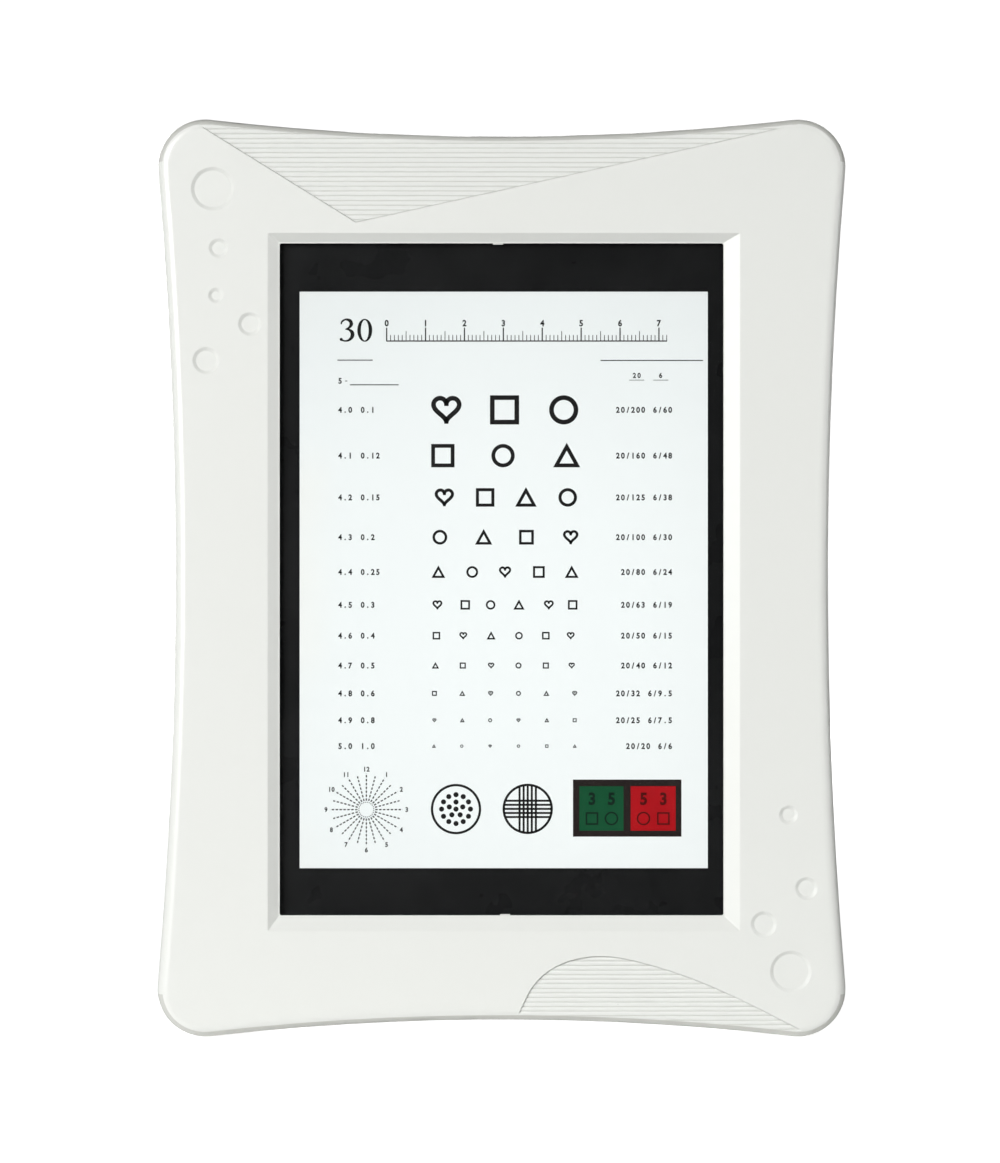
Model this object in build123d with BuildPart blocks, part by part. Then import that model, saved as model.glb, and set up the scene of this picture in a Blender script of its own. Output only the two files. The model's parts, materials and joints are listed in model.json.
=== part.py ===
"""Desk-top near-vision test light box: moulded two-shell case, edge-lit chart, battery bay
and fold-out stand.

Frame: +Z up, front face looks along -Y, origin on the ground under the middle of the case.
All sizes in millimetres. Heights named *_Z are measured from the case centre.
"""

import math
import os

from build123d import *

os.makedirs("parts", exist_ok=True)

# ------------------------------------------------------------------ driving dimensions
# Case outline: four shallow arcs between rounded corners
CORNER_X, CORNER_Z = 89.66, 119.5  # sharp corner points before rounding
MID_X, MID_Z = 83.8, 113.35  # half width and half height at the waists
R_CORNER = 12.3

Y_FRONT = -12.5  # outer front face
Y_PART = -0.5  # parting plane between the two shells
Y_BACK = 11.5  # outer back face
Y_FEET = 12.5  # back of the rubber feet

WALL_SIDE = 2.2
WALL_FRONT = 2.4
WALL_BACK = 2.0
Y_WALL_F = Y_FRONT + WALL_FRONT  # inner face of the front wall
Y_WALL_B = Y_BACK - WALL_BACK  # inner face of the back wall
R_FRONT_EDGE = 3.0
R_BACK_EDGE = 2.8
PART_CHAMFER = 0.3
LIP = 1.5  # height of the tongue that locates the shells
LIP_CLEAR = 0.15
TONGUE_ROOT = 1.5  # length of the tongue behind the parting plane
TONGUE_INSET, RABBET_INSET = 1.2, 1.05

# Chart window in the bezel, centred slightly low
WIN_W = 113.8
WIN_Z0, WIN_Z1 = -86.5, 85.8
WIN_H = WIN_Z1 - WIN_Z0
R_WIN = 0.5
BEVEL_X0, BEVEL_X1 = -59.8, 61.0  # outer edge of the slope, wider at right and below
BEVEL_Z0, BEVEL_Z1 = -90.3, 88.2
WIN_BEVEL_DEPTH = 1.9
WIN_LAND = 0.26  # flat land between the slope and the opening

# Ribbed relief panels
RIB_CREST = 0.22  # crest below the front face
RIB_GROOVE = 0.50  # groove below the front face
UP_PITCH, UP_GROOVE0, UP_COUNT = 1.22, 111.25, 27
LO_PITCH, LO_GROOVE0, LO_COUNT = 1.165, -99.23, 20
# Corners of the upper panel: x, z
UP_PANEL = [(-37.25, 91.1), (92.0, 119.73), (92.0, 125.0), (-91.95, 125.0)]
# Curved upper edge of the lower panel: x, z
LO_PANEL_EDGE = [
    (2.1, -115.0), (4.9, -110.7), (7.5, -105.5), (12.2, -100.6), (18.5, -97.8),
    (25.5, -96.9), (35.2, -98.4), (49.9, -103.1), (64.6, -109.7), (84.0, -119.6),
]
LO_PANEL_BOTTOM = -124.0

# Round dimples in the bezel: x, z, radius
DIMPLES = [
    (-73.9, 99.6, 5.55),
    (-72.4, 84.4, 2.50),
    (-73.1, 72.3, 1.95),
    (-64.4, 65.0, 3.00),
    (-75.6, 55.6, 3.45),
    (73.4, -60.6, 2.40),
    (78.0, -79.4, 2.85),
    (67.1, -88.6, 3.30),
    (74.0, -100.7, 5.30),
]
DIMPLE_DEPTH = 0.55
DIMPLE_SLOPE = 0.85  # radius lost from rim to floor

# Optical stack, front to back
LENS_W, LENS_H, LENS_T = 119.6, 178.0, 1.5
TAPE_T = 0.2
FILM_T = 0.25
DIFFUSER_W, DIFFUSER_H, DIFFUSER_T = 116.0, 164.0, 0.8
GUIDE_W, GUIDE_H, GUIDE_T = 112.0, 158.0, 2.5
REFLECTOR_T = 0.25
TRAY_T = 1.2
STACK_Z = (WIN_Z0 + WIN_Z1) / 2
GAP = 0.05
R_SHEET = 1.0

# Front face of each layer
Y_LENS = Y_WALL_F + TAPE_T
Y_FILM = Y_LENS + LENS_T + GAP
Y_DIFFUSER = Y_FILM + FILM_T + GAP
Y_GUIDE = Y_DIFFUSER + DIFFUSER_T + GAP
Y_REFLECTOR = Y_GUIDE + GUIDE_T + GAP
Y_TRAY = Y_REFLECTOR + REFLECTOR_T + GAP
Y_TRAY_BACK = Y_TRAY + TRAY_T

# Screw positions
CASE_SCREWS = [(-76, 104.5), (76, 104.5), (-76, -104.5), (76, -104.5), (-75.6, 0), (75.6, 0)]
TRAY_SCREWS = [(x, z) for z in (62, -2, -66) for x in (-65.2, 65.2)]
CASE_SEAT_Y = 4.5  # underside of the case screw heads
CASE_BOSS_Y, CASE_COLUMN_Y = 0.5, 0.6  # where bezel bosses and rear columns end

# Stand
HINGE_Z, HINGE_Y = 22.0, 7.6
LEG_LEN = 124.0
LEG_W_TOP, LEG_W_FOOT = 50.6, 34.0
LEG_Y0, LEG_Y1 = 7.9, 11.1  # inner and outer faces of the leg plate
LEG_END_Z = HINGE_Z - LEG_LEN
SHOULDER_Z = HINGE_Z - 14  # the leg tapers below this height
PIN_R = 1.5
PIN_OVERHANG = 5.0
PIN_HOLE_CLEAR = 0.02
BARREL_R = 3.4
BARREL_CLEAR = 0.05

# Battery bay for four AAA cells lying across the case
CELL_R, CELL_L = 5.25, 44.5
CELL_PITCH = 11.2
BAY_W, BAY_H = 54.0, 45.6
BAY_Z = 66.0
BAY_FLOOR = -1.3
BAY_WALL = 1.6
CELL_Y = 4.25
CELL_Z = [BAY_Z + (k - 1.5) * CELL_PITCH for k in range(4)]
DOOR_W, DOOR_H, DOOR_T = 58.0, 52.0, 1.6
DOOR_Z0 = BAY_Z - DOOR_H / 2  # tabbed edge of the battery door
DOOR_Z1 = BAY_Z + DOOR_H / 2  # latched edge
TAB_X = 18

# Electronics
PCB_X0, PCB_X1 = 33.5, 77.0
PCB_Z0, PCB_Z1 = -84.0, -26.0
PCB_Y0, PCB_T = 0.6, 1.6
PCB_Y1 = PCB_Y0 + PCB_T
BOARD_SCREW_INSET = 3.5
BOARD_SCREWS = [
    (x, z)
    for z in (PCB_Z0 + BOARD_SCREW_INSET, PCB_Z1 - BOARD_SCREW_INSET)
    for x in (PCB_X0 + BOARD_SCREW_INSET, PCB_X1 - BOARD_SCREW_INSET)
]
SWITCH_X, SWITCH_Z = 55.0, -40.0
SWITCH_TRAVEL = 4.0
JACK_Z = -64.0
JACK_Y = 5.4

KEYHOLE_X, KEYHOLE_Z = 50.0, 84.0
KEYHOLE_R, KEYHOLE_SLOT, KEYHOLE_RISE = 4.0, 4.2, 9.0
FEET = [(x, z) for z in (104.0, -104.0) for x in (-60.0, 60.0)]
FOOT_R, FOOT_SEAT_CLEAR, FOOT_SEAT_DEPTH = 5.0, 0.1, 0.8

# ------------------------------------------------------------------ shared outline
R_SIDE = ((CORNER_X - MID_X) ** 2 + CORNER_Z**2) / (2 * (CORNER_X - MID_X))
R_END = ((CORNER_Z - MID_Z) ** 2 + CORNER_X**2) / (2 * (CORNER_Z - MID_Z))


def corner_point(inset):
    """Where the two arcs of a corner meet when the outline is moved inwards."""
    x, z = CORNER_X, CORNER_Z
    for _ in range(40):
        x = MID_X + R_SIDE - math.sqrt((R_SIDE + inset) ** 2 - z * z)
        z = MID_Z + R_END - math.sqrt((R_END + inset) ** 2 - x * x)
    return x, z


def case_outline(inset):
    """Case outline moved inwards."""
    x, z = corner_point(inset)
    with BuildSketch() as outline:
        with BuildLine():
            ThreePointArc((-x, z), (0, MID_Z - inset), (x, z))
            ThreePointArc((x, z), (MID_X - inset, 0), (x, -z))
            ThreePointArc((x, -z), (0, -MID_Z + inset), (-x, -z))
            ThreePointArc((-x, -z), (-MID_X + inset, 0), (-x, z))
        make_face()
        fillet(outline.vertices(), R_CORNER - inset)
    return outline.sketch


OUTER = case_outline(0.0)
RABBET = case_outline(RABBET_INSET)
TONGUE = case_outline(TONGUE_INSET)
CAVITY = case_outline(WALL_SIDE)

Z_MID = -OUTER.bounding_box().min.Y  # the case centre stands this high
HINGE = (HINGE_Y, Z_MID + HINGE_Z)  # hinge axis on a YZ plane
JACK = (JACK_Y, Z_MID + JACK_Z)  # jack axis on a YZ plane


def at(y):
    """Plane facing forwards at depth y, centred on the case: local x right, local y up."""
    return Plane(origin=(0, y, Z_MID), x_dir=(1, 0, 0), z_dir=(0, -1, 0))


def finish(shape, name):
    """Names one piece and writes it."""
    shape.label = name
    export_step(shape, f"parts/{name}.step")


def screw_set(name, spots, seat_y, side, head, shank, cross):
    """Cross-head screws. side: 1 if the heads stand forward of seat_y, -1 if behind.

    head: radius, height, edge radius; shank: radius, length; cross: span, width, depth.
    """
    head_r, head_h, edge_r = head
    shank_r, shank_length = shank
    span, width, depth = cross
    with BuildPart() as screws:
        with BuildSketch(at(seat_y)):
            with Locations(*spots):
                Circle(head_r)
        extrude(amount=side * head_h)
        tops = screws.faces().filter_by(Axis.Y).group_by(Axis.Y)[0 if side > 0 else -1]
        fillet(tops.edges(), edge_r)
        with BuildSketch(at(seat_y)):
            with Locations(*spots):
                Circle(shank_r)
        extrude(amount=-side * shank_length)
        with BuildSketch(at(seat_y - side * head_h)):
            with Locations(*spots):
                Rectangle(span, width)
                Rectangle(width, span)
        extrude(amount=-side * depth, mode=Mode.SUBTRACT)
    finish(screws.part, name)


# ------------------------------------------------------------------ rib cutters
def rib_cutter(top_z, pitch, count, x_start, length, panel):
    """Cutter that leaves horizontal arched ribs, trimmed to the panel outline."""
    grooves = [(Y_FRONT + RIB_GROOVE, Z_MID + top_z - k * pitch) for k in range(count + 1)]
    y_clear = Y_FRONT - 2
    with BuildPart() as cutter:
        with BuildSketch(Plane.YZ.offset(x_start)):
            with BuildLine():
                for a, b in zip(grooves, grooves[1:]):
                    ThreePointArc(a, (Y_FRONT + RIB_CREST, (a[1] + b[1]) / 2), b)
                Polyline(
                    grooves[-1], (y_clear, grooves[-1][1]), (y_clear, grooves[0][1]), grooves[0]
                )
            make_face()
        extrude(amount=length)
        with BuildSketch(at(Y_FRONT - 3)):
            add(panel)
        extrude(amount=-6, mode=Mode.INTERSECT)
    return cutter.part


with BuildSketch() as upper_panel:
    Polygon(*UP_PANEL, align=None)

with BuildSketch() as lower_panel:
    with BuildLine():
        Spline(*LO_PANEL_EDGE)
        edge_start, edge_end = LO_PANEL_EDGE[0], LO_PANEL_EDGE[-1]
        Polyline(
            edge_end, (edge_end[0], LO_PANEL_BOTTOM), (edge_start[0], LO_PANEL_BOTTOM), edge_start
        )
    make_face()

# Both cutters start whole pitches above their reference groove
upper_ribs = rib_cutter(
    UP_GROOVE0 + 9 * UP_PITCH, UP_PITCH, UP_COUNT, x_start=-95, length=190,
    panel=upper_panel.sketch,
)
lower_ribs = rib_cutter(
    LO_GROOVE0 + 2 * LO_PITCH, LO_PITCH, LO_COUNT, x_start=-5, length=100,
    panel=lower_panel.sketch,
)

# ------------------------------------------------------------------ front bezel
SEAT_CLEAR, SEAT_WALL, SEAT_DEPTH = 0.6, 1.2, 5.3  # rim round the lens; clearance overall
CASE_BOSS_R, CASE_PILOT_R, CASE_PILOT_DEPTH = 3.6, 1.55, 9.0
TRAY_BOSS_R, TRAY_PILOT_R, TRAY_PILOT_DEPTH = 2.6, 1.05, 4.6
TRAY_BOSS_Y = Y_TRAY - GAP
BOSS_RIB_L, BOSS_RIB_W, BOSS_RIB_H, BOSS_RIB_SHIFT = 4.4, 1.2, 6.0, 4.2
GATE_W, GATE_H, GATE_DEPTH = 2.6, 0.5, 0.35

with BuildPart() as front_bezel:
    with BuildSketch(at(Y_PART)):
        add(OUTER)
    extrude(amount=Y_PART - Y_FRONT)
    fillet(front_bezel.faces().sort_by(Axis.Y)[0].edges(), R_FRONT_EDGE)
    chamfer(front_bezel.faces().sort_by(Axis.Y)[-1].edges(), PART_CHAMFER)
    # hollow
    with BuildSketch(at(Y_PART)):
        add(CAVITY)
    extrude(amount=Y_PART - Y_WALL_F, mode=Mode.SUBTRACT)
    # rabbet for the rear shell's tongue
    with BuildSketch(at(Y_PART)):
        add(RABBET)
    extrude(amount=LIP + LIP_CLEAR, mode=Mode.SUBTRACT)
    # relief
    add(upper_ribs, mode=Mode.SUBTRACT)
    add(lower_ribs, mode=Mode.SUBTRACT)
    # window: mitred bevel, a narrow flat land, then the straight opening
    with BuildSketch(at(Y_FRONT)):
        with Locations(((BEVEL_X0 + BEVEL_X1) / 2, (BEVEL_Z0 + BEVEL_Z1) / 2)):
            Rectangle(BEVEL_X1 - BEVEL_X0, BEVEL_Z1 - BEVEL_Z0)
    with BuildSketch(at(Y_FRONT + WIN_BEVEL_DEPTH)):
        with Locations((0, STACK_Z)):
            Rectangle(WIN_W + 2 * WIN_LAND, WIN_H + 2 * WIN_LAND)
    loft(mode=Mode.SUBTRACT)
    with BuildSketch(at(Y_FRONT)):
        with Locations((0, STACK_Z)):
            RectangleRounded(WIN_W, WIN_H, R_WIN)
    extrude(amount=-5, mode=Mode.SUBTRACT)
    # dimples
    for x, z, radius in DIMPLES:
        with BuildSketch(at(Y_FRONT)):
            with Locations((x, z)):
                Circle(radius)
        with BuildSketch(at(Y_FRONT + DIMPLE_DEPTH)):
            with Locations((x, z)):
                Circle(radius - DIMPLE_SLOPE)
        loft(mode=Mode.SUBTRACT)
    # lens seat rim
    with BuildSketch(at(Y_WALL_F)):
        with Locations((0, STACK_Z)):
            RectangleRounded(
                LENS_W + SEAT_CLEAR + 2 * SEAT_WALL, LENS_H + SEAT_CLEAR + 2 * SEAT_WALL, 1.5
            )
            Rectangle(LENS_W + SEAT_CLEAR, LENS_H + SEAT_CLEAR, mode=Mode.SUBTRACT)
    extrude(amount=-SEAT_DEPTH)
    # case bosses and tray bosses, then their pilot holes
    with BuildSketch(at(Y_WALL_F)):
        with Locations(*CASE_SCREWS):
            Circle(CASE_BOSS_R)
    extrude(amount=-(CASE_BOSS_Y - Y_WALL_F))
    with BuildSketch(at(Y_WALL_F)):
        with Locations(*TRAY_SCREWS):
            Circle(TRAY_BOSS_R)
    extrude(amount=-(TRAY_BOSS_Y - Y_WALL_F))
    with BuildSketch(at(CASE_BOSS_Y)):
        with Locations(*CASE_SCREWS):
            Circle(CASE_PILOT_R)
    extrude(amount=CASE_PILOT_DEPTH, mode=Mode.SUBTRACT)
    with BuildSketch(at(TRAY_BOSS_Y)):
        with Locations(*TRAY_SCREWS):
            Circle(TRAY_PILOT_R)
    extrude(amount=TRAY_PILOT_DEPTH, mode=Mode.SUBTRACT)
    # stiffening ribs from the case bosses to the side walls
    with BuildSketch(at(Y_WALL_F)):
        for x, z in CASE_SCREWS:
            with Locations((math.copysign(abs(x) + BOSS_RIB_SHIFT, x), z)):
                Rectangle(BOSS_RIB_L, BOSS_RIB_W)
    extrude(amount=-BOSS_RIB_H)
    # gate marks left on the window lip
    with BuildSketch(at(Y_WALL_F)):
        with Locations((-0.9, WIN_Z1 - 0.05), (0.9, WIN_Z0 + 0.05)):
            Rectangle(GATE_W, GATE_H)
    extrude(amount=GATE_DEPTH)
finish(front_bezel.part, "front_bezel")

# ------------------------------------------------------------------ optical stack
TAPE_MARGIN = 1.4  # the tape opening is this much larger than the window overall
FILM_CLEAR = 0.4  # the film is this much smaller than the lens overall

with BuildPart() as lens_tape:
    with BuildSketch(at(Y_WALL_F)):
        with Locations((0, STACK_Z)):
            Rectangle(LENS_W, LENS_H)
            Rectangle(WIN_W + TAPE_MARGIN, WIN_H + TAPE_MARGIN, mode=Mode.SUBTRACT)
    extrude(amount=-TAPE_T)
finish(lens_tape.part, "lens_tape")

with BuildPart() as front_lens:
    with BuildSketch(at(Y_LENS)):
        with Locations((0, STACK_Z)):
            RectangleRounded(LENS_W, LENS_H, R_SHEET)
    extrude(amount=-LENS_T)
    chamfer(front_lens.faces().sort_by(Axis.Y)[0].edges(), 0.2)
finish(front_lens.part, "front_lens")

# Round-cornered sheets: name, front face, width, height, thickness
for name, y, width, height, thickness in (
    ("chart_film", Y_FILM, LENS_W - FILM_CLEAR, LENS_H - FILM_CLEAR, FILM_T),
    ("diffuser_sheet", Y_DIFFUSER, DIFFUSER_W, DIFFUSER_H, DIFFUSER_T),
):
    with BuildPart() as sheet:
        with BuildSketch(at(y)):
            with Locations((0, STACK_Z)):
                RectangleRounded(width, height, R_SHEET)
        extrude(amount=-thickness)
    finish(sheet.part, name)

with BuildPart() as light_guide:
    with BuildSketch(at(Y_GUIDE)):
        with Locations((0, STACK_Z)):
            Rectangle(GUIDE_W, GUIDE_H)
    extrude(amount=-GUIDE_T)
    chamfer(light_guide.edges().filter_by(Axis.Y), 1.0)
finish(light_guide.part, "light_guide")

with BuildPart() as reflector_sheet:
    with BuildSketch(at(Y_REFLECTOR)):
        with Locations((0, STACK_Z)):
            Rectangle(GUIDE_W, GUIDE_H)
    extrude(amount=-REFLECTOR_T)
finish(reflector_sheet.part, "reflector_sheet")

# ------------------------------------------------------------------ backlight tray and LEDs
POCKET_W, POCKET_H = GUIDE_W + 5.2, GUIDE_H + 0.6
TRAY_W, TRAY_H, R_TRAY = POCKET_W + 2.4, POCKET_H + 6.0, 1.5
EAR_W, EAR_H, EAR_SHIFT = 12.4, 7.0, 2.2  # ears under the screws, shifted inwards
TRAY_HOLE_R = 1.25
WIRE_EXIT_X, WIRE_EXIT_Z = 57.1, STACK_Z - 74.0
TRAY_RIB_Z = 78.5  # from the middle of the stack

with BuildPart() as backlight_tray:
    with BuildSketch(at(Y_TRAY)):
        with Locations((0, STACK_Z)):
            RectangleRounded(TRAY_W, TRAY_H, R_TRAY)
        for x, z in TRAY_SCREWS:
            with Locations((math.copysign(abs(x) - EAR_SHIFT, x), z)):
                Rectangle(EAR_W, EAR_H)
    extrude(amount=-TRAY_T)
    # wall round the guide and the LED boards
    with BuildSketch(at(Y_TRAY)):
        with Locations((0, STACK_Z)):
            RectangleRounded(TRAY_W, TRAY_H, R_TRAY)
            Rectangle(POCKET_W, POCKET_H, mode=Mode.SUBTRACT)
    extrude(amount=Y_TRAY - Y_GUIDE)
    # screw holes, and wire exits at the lower ends of the LED boards
    with BuildSketch(at(Y_TRAY_BACK)):
        with Locations(*TRAY_SCREWS):
            Circle(TRAY_HOLE_R)
        with Locations((-WIRE_EXIT_X, WIRE_EXIT_Z), (WIRE_EXIT_X, WIRE_EXIT_Z)):
            RectangleRounded(2.6, 5.0, 1.0)
    extrude(amount=TRAY_T, mode=Mode.SUBTRACT)
    # stiffening ribs on the back of the tray
    with BuildSketch(at(Y_TRAY_BACK)):
        with Locations((0, STACK_Z + TRAY_RIB_Z), (0, STACK_Z - TRAY_RIB_Z)):
            Rectangle(100, 1.2)
    extrude(amount=-0.6)
finish(backlight_tray.part, "backlight_tray")

LED_COUNT, LED_SPAN = 16, 132
LED_T, LED_L, LED_D = 1.0, 3.0, 1.4  # sizes along x, z and y
LED_Z = [STACK_Z - LED_SPAN / 2 + k * LED_SPAN / (LED_COUNT - 1) for k in range(LED_COUNT)]
LED_BOARD_T, LED_BOARD_L = 0.8, 148.0
LED_BOARD_INSET, LED_INSET = 0.5, 1.45  # centres measured from the pocket wall

for side, name in ((-1, "left"), (1, "right")):
    x_wall = side * POCKET_W / 2
    with BuildPart() as led_board:
        with BuildSketch(at(Y_GUIDE + 0.05)):
            with Locations((x_wall - side * LED_BOARD_INSET, STACK_Z)):
                Rectangle(LED_BOARD_T, LED_BOARD_L)
        extrude(amount=-(GUIDE_T + REFLECTOR_T))
    finish(led_board.part, f"led_board_{name}")
    with BuildPart() as leds:
        for z in LED_Z:
            with BuildSketch(at(Y_GUIDE + GUIDE_T / 2 - LED_D / 2)):
                with Locations((x_wall - side * LED_INSET, z)):
                    Rectangle(LED_T, LED_L)
            extrude(amount=-LED_D)
    finish(leds.part, f"leds_{name}")

screw_set(
    "tray_screws", TRAY_SCREWS, Y_TRAY_BACK, side=-1,
    head=(1.95, 1.35, 0.5), shank=(0.98, 4.6), cross=(2.0, 0.45, 0.7),
)


# ------------------------------------------------------------------ rear cover
def tapered_points(half_top, half_foot, top_z, shoulder_z, foot_z):
    """Corners of the leg shape: parallel down to the shoulder, then narrowing to the foot."""
    return [
        (-half_top, top_z),
        (half_top, top_z),
        (half_top, shoulder_z),
        (half_foot, foot_z),
        (-half_foot, foot_z),
        (-half_top, shoulder_z),
    ]


REC_Z1 = HINGE_Z + BARREL_R + 0.6  # top of the stand recess
REC_Z0 = LEG_END_Z - 0.7  # bottom of the stand recess
REC_Y = 3.7  # floor of the stand recess
REC_WALL = 1.8
with BuildSketch() as recess_shape:
    with BuildLine():
        Polyline(
            *tapered_points(
                LEG_W_TOP / 2 + 0.5, LEG_W_FOOT / 2 + 0.7, REC_Z1, SHOULDER_Z, REC_Z0
            ),
            close=True,
        )
    make_face()
    fillet(recess_shape.vertices().group_by(Axis.Y)[0], 6.6)

SCOOP_R = 8.6
with BuildPart() as scoop_cutter:
    with BuildSketch(Plane.YZ):
        with BuildLine():
            CenterArc((Y_BACK + 3.2, Z_MID + REC_Z0 + 1.5), SCOOP_R, 0, 360)
        make_face()
    extrude(amount=8.0, both=True)
    fillet(scoop_cutter.faces().filter_by(Axis.X).edges(), 2.0)

LUG_X = LEG_W_TOP / 2 + 3.2
LUG_W, LUG_H, LUG_Y = 5.6, 9.0, 3.6  # LUG_Y: front end of the lugs
PIN_HOLE_END = LEG_W_TOP / 2 + PIN_OVERHANG + 0.2
BAY_BOX_FLOOR = 1.1
COLUMN_R, WELL_R, CASE_HOLE_R = 4.4, 3.1, 1.7
STANDOFF_R, STANDOFF_PILOT_R, STANDOFF_PILOT_DEPTH = 2.5, 1.03, 4.8
PAD_W, PAD_H, PAD_DEPTH, PAD_WALL = 14.0, 23.0, 5.4, 1.2
PADS = [(s * KEYHOLE_X, KEYHOLE_Z + 3.5) for s in (-1, 1)]
DOOR_CLEAR = 0.5
JACK_HOLE_R = 3.15

with BuildPart() as rear_cover:
    with BuildSketch(at(Y_PART)):
        add(OUTER)
    extrude(amount=-(Y_BACK - Y_PART))
    fillet(rear_cover.faces().sort_by(Axis.Y)[-1].edges(), R_BACK_EDGE)
    chamfer(rear_cover.faces().sort_by(Axis.Y)[0].edges(), PART_CHAMFER)
    with BuildSketch(at(Y_PART)):
        add(CAVITY)
    extrude(amount=-(Y_WALL_B - Y_PART), mode=Mode.SUBTRACT)
    # locating tongue
    with BuildSketch(at(Y_PART + TONGUE_ROOT)):
        add(TONGUE)
        add(CAVITY, mode=Mode.SUBTRACT)
    extrude(amount=LIP + TONGUE_ROOT)
    # box round the stand recess
    with BuildSketch(at(Y_WALL_B)):
        add(recess_shape.sketch)
        offset(amount=REC_WALL, mode=Mode.REPLACE)
    extrude(amount=Y_WALL_B - (REC_Y - REC_WALL))
    # lugs that carry the hinge pin
    with BuildSketch(at(Y_WALL_B)):
        with Locations((-LUG_X, HINGE_Z), (LUG_X, HINGE_Z)):
            Rectangle(LUG_W, LUG_H)
    extrude(amount=Y_WALL_B - LUG_Y)
    # box round the battery bay
    with BuildSketch(at(Y_WALL_B)):
        with Locations((0, BAY_Z)):
            Rectangle(BAY_W + 2 * BAY_WALL, BAY_H + 2 * BAY_WALL)
    extrude(amount=Y_WALL_B - (BAY_FLOOR - BAY_BOX_FLOOR))
    # screw columns
    with BuildSketch(at(Y_WALL_B)):
        with Locations(*CASE_SCREWS):
            Circle(COLUMN_R)
    extrude(amount=Y_WALL_B - CASE_COLUMN_Y)
    # standoffs for the main board
    with BuildSketch(at(Y_WALL_B)):
        with Locations(*BOARD_SCREWS):
            Circle(STANDOFF_R)
    extrude(amount=Y_WALL_B - PCB_Y1)
    # hollow pads inside the keyholes
    with BuildSketch(at(Y_WALL_B)):
        with Locations(*PADS):
            RectangleRounded(PAD_W, PAD_H, 3.0)
    extrude(amount=PAD_DEPTH)
    with BuildSketch(at(Y_WALL_B)):
        with Locations(*PADS):
            RectangleRounded(PAD_W - 2 * PAD_WALL, PAD_H - 2 * PAD_WALL, 2.0)
    extrude(amount=PAD_DEPTH - PAD_WALL, mode=Mode.SUBTRACT)
    # ---- openings
    with BuildSketch(at(Y_BACK)):
        add(recess_shape.sketch)
    extrude(amount=Y_BACK - REC_Y, mode=Mode.SUBTRACT)
    # finger scoop below the foot of the stand
    add(scoop_cutter.part, mode=Mode.SUBTRACT)
    # hinge pin holes
    with BuildSketch(Plane.YZ.offset(-PIN_HOLE_END)):
        with Locations(HINGE):
            Circle(PIN_R + PIN_HOLE_CLEAR)
    extrude(amount=2 * PIN_HOLE_END, mode=Mode.SUBTRACT)
    # battery bay, door rabbet, tab pockets and latch slot
    with BuildSketch(at(Y_BACK)):
        with Locations((0, BAY_Z)):
            Rectangle(BAY_W, BAY_H)
    extrude(amount=Y_BACK - BAY_FLOOR, mode=Mode.SUBTRACT)
    with BuildSketch(at(Y_BACK)):
        with Locations((0, BAY_Z)):
            RectangleRounded(DOOR_W + DOOR_CLEAR, DOOR_H + DOOR_CLEAR, 2.2)
    extrude(amount=DOOR_T, mode=Mode.SUBTRACT)
    with BuildSketch(at(Y_BACK - DOOR_T)):
        with Locations((-TAB_X, DOOR_Z0 - 0.2), (TAB_X, DOOR_Z0 - 0.2)):
            Rectangle(9.0, 7.6)
    extrude(amount=3.6, mode=Mode.SUBTRACT)
    with BuildSketch(at(Y_BACK - DOOR_T)):
        with Locations((0, DOOR_Z1 + 0.4)):
            Rectangle(14.0, 5.0)
    extrude(amount=4.2, mode=Mode.SUBTRACT)
    # fingernail relief above the door latch
    with BuildSketch(at(Y_BACK)):
        with Locations((0, DOOR_Z1 + 1.5)):
            SlotOverall(16.0, 6.0)
    extrude(amount=1.1, mode=Mode.SUBTRACT)
    # screw wells
    with BuildSketch(at(Y_BACK)):
        with Locations(*CASE_SCREWS):
            Circle(WELL_R)
    extrude(amount=Y_BACK - CASE_SEAT_Y, mode=Mode.SUBTRACT)
    with BuildSketch(at(CASE_SEAT_Y)):
        with Locations(*CASE_SCREWS):
            Circle(CASE_HOLE_R)
    extrude(amount=4.5, mode=Mode.SUBTRACT)
    # pilot holes in the standoffs
    with BuildSketch(at(PCB_Y1)):
        with Locations(*BOARD_SCREWS):
            Circle(STANDOFF_PILOT_R)
    extrude(amount=-STANDOFF_PILOT_DEPTH, mode=Mode.SUBTRACT)
    # keyholes
    with BuildSketch(at(Y_BACK)):
        for side in (-1, 1):
            with Locations((side * KEYHOLE_X, KEYHOLE_Z)):
                Circle(KEYHOLE_R)
            with Locations((side * KEYHOLE_X, KEYHOLE_Z + KEYHOLE_RISE / 2)):
                Rectangle(KEYHOLE_SLOT, KEYHOLE_RISE)
            with Locations((side * KEYHOLE_X, KEYHOLE_Z + KEYHOLE_RISE)):
                Circle(KEYHOLE_SLOT / 2)
    extrude(amount=WALL_BACK, mode=Mode.SUBTRACT)
    # slide switch recess and slot
    with BuildSketch(at(Y_BACK)):
        with Locations((SWITCH_X, SWITCH_Z)):
            SlotOverall(20.0, 9.0, rotation=90)
    extrude(amount=1.0, mode=Mode.SUBTRACT)
    with BuildSketch(at(Y_BACK)):
        with Locations((SWITCH_X, SWITCH_Z)):
            RectangleRounded(4.6, 10.6, 0.8)
    extrude(amount=WALL_BACK, mode=Mode.SUBTRACT)
    # hole for the power jack in the right side wall
    with BuildSketch(Plane.YZ.offset(80)):
        with Locations(JACK):
            Circle(JACK_HOLE_R)
    extrude(amount=10, mode=Mode.SUBTRACT)
    # seats for the rubber feet
    with BuildSketch(at(Y_BACK)):
        with Locations(*FEET):
            Circle(FOOT_R + FOOT_SEAT_CLEAR)
    extrude(amount=FOOT_SEAT_DEPTH, mode=Mode.SUBTRACT)
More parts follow.
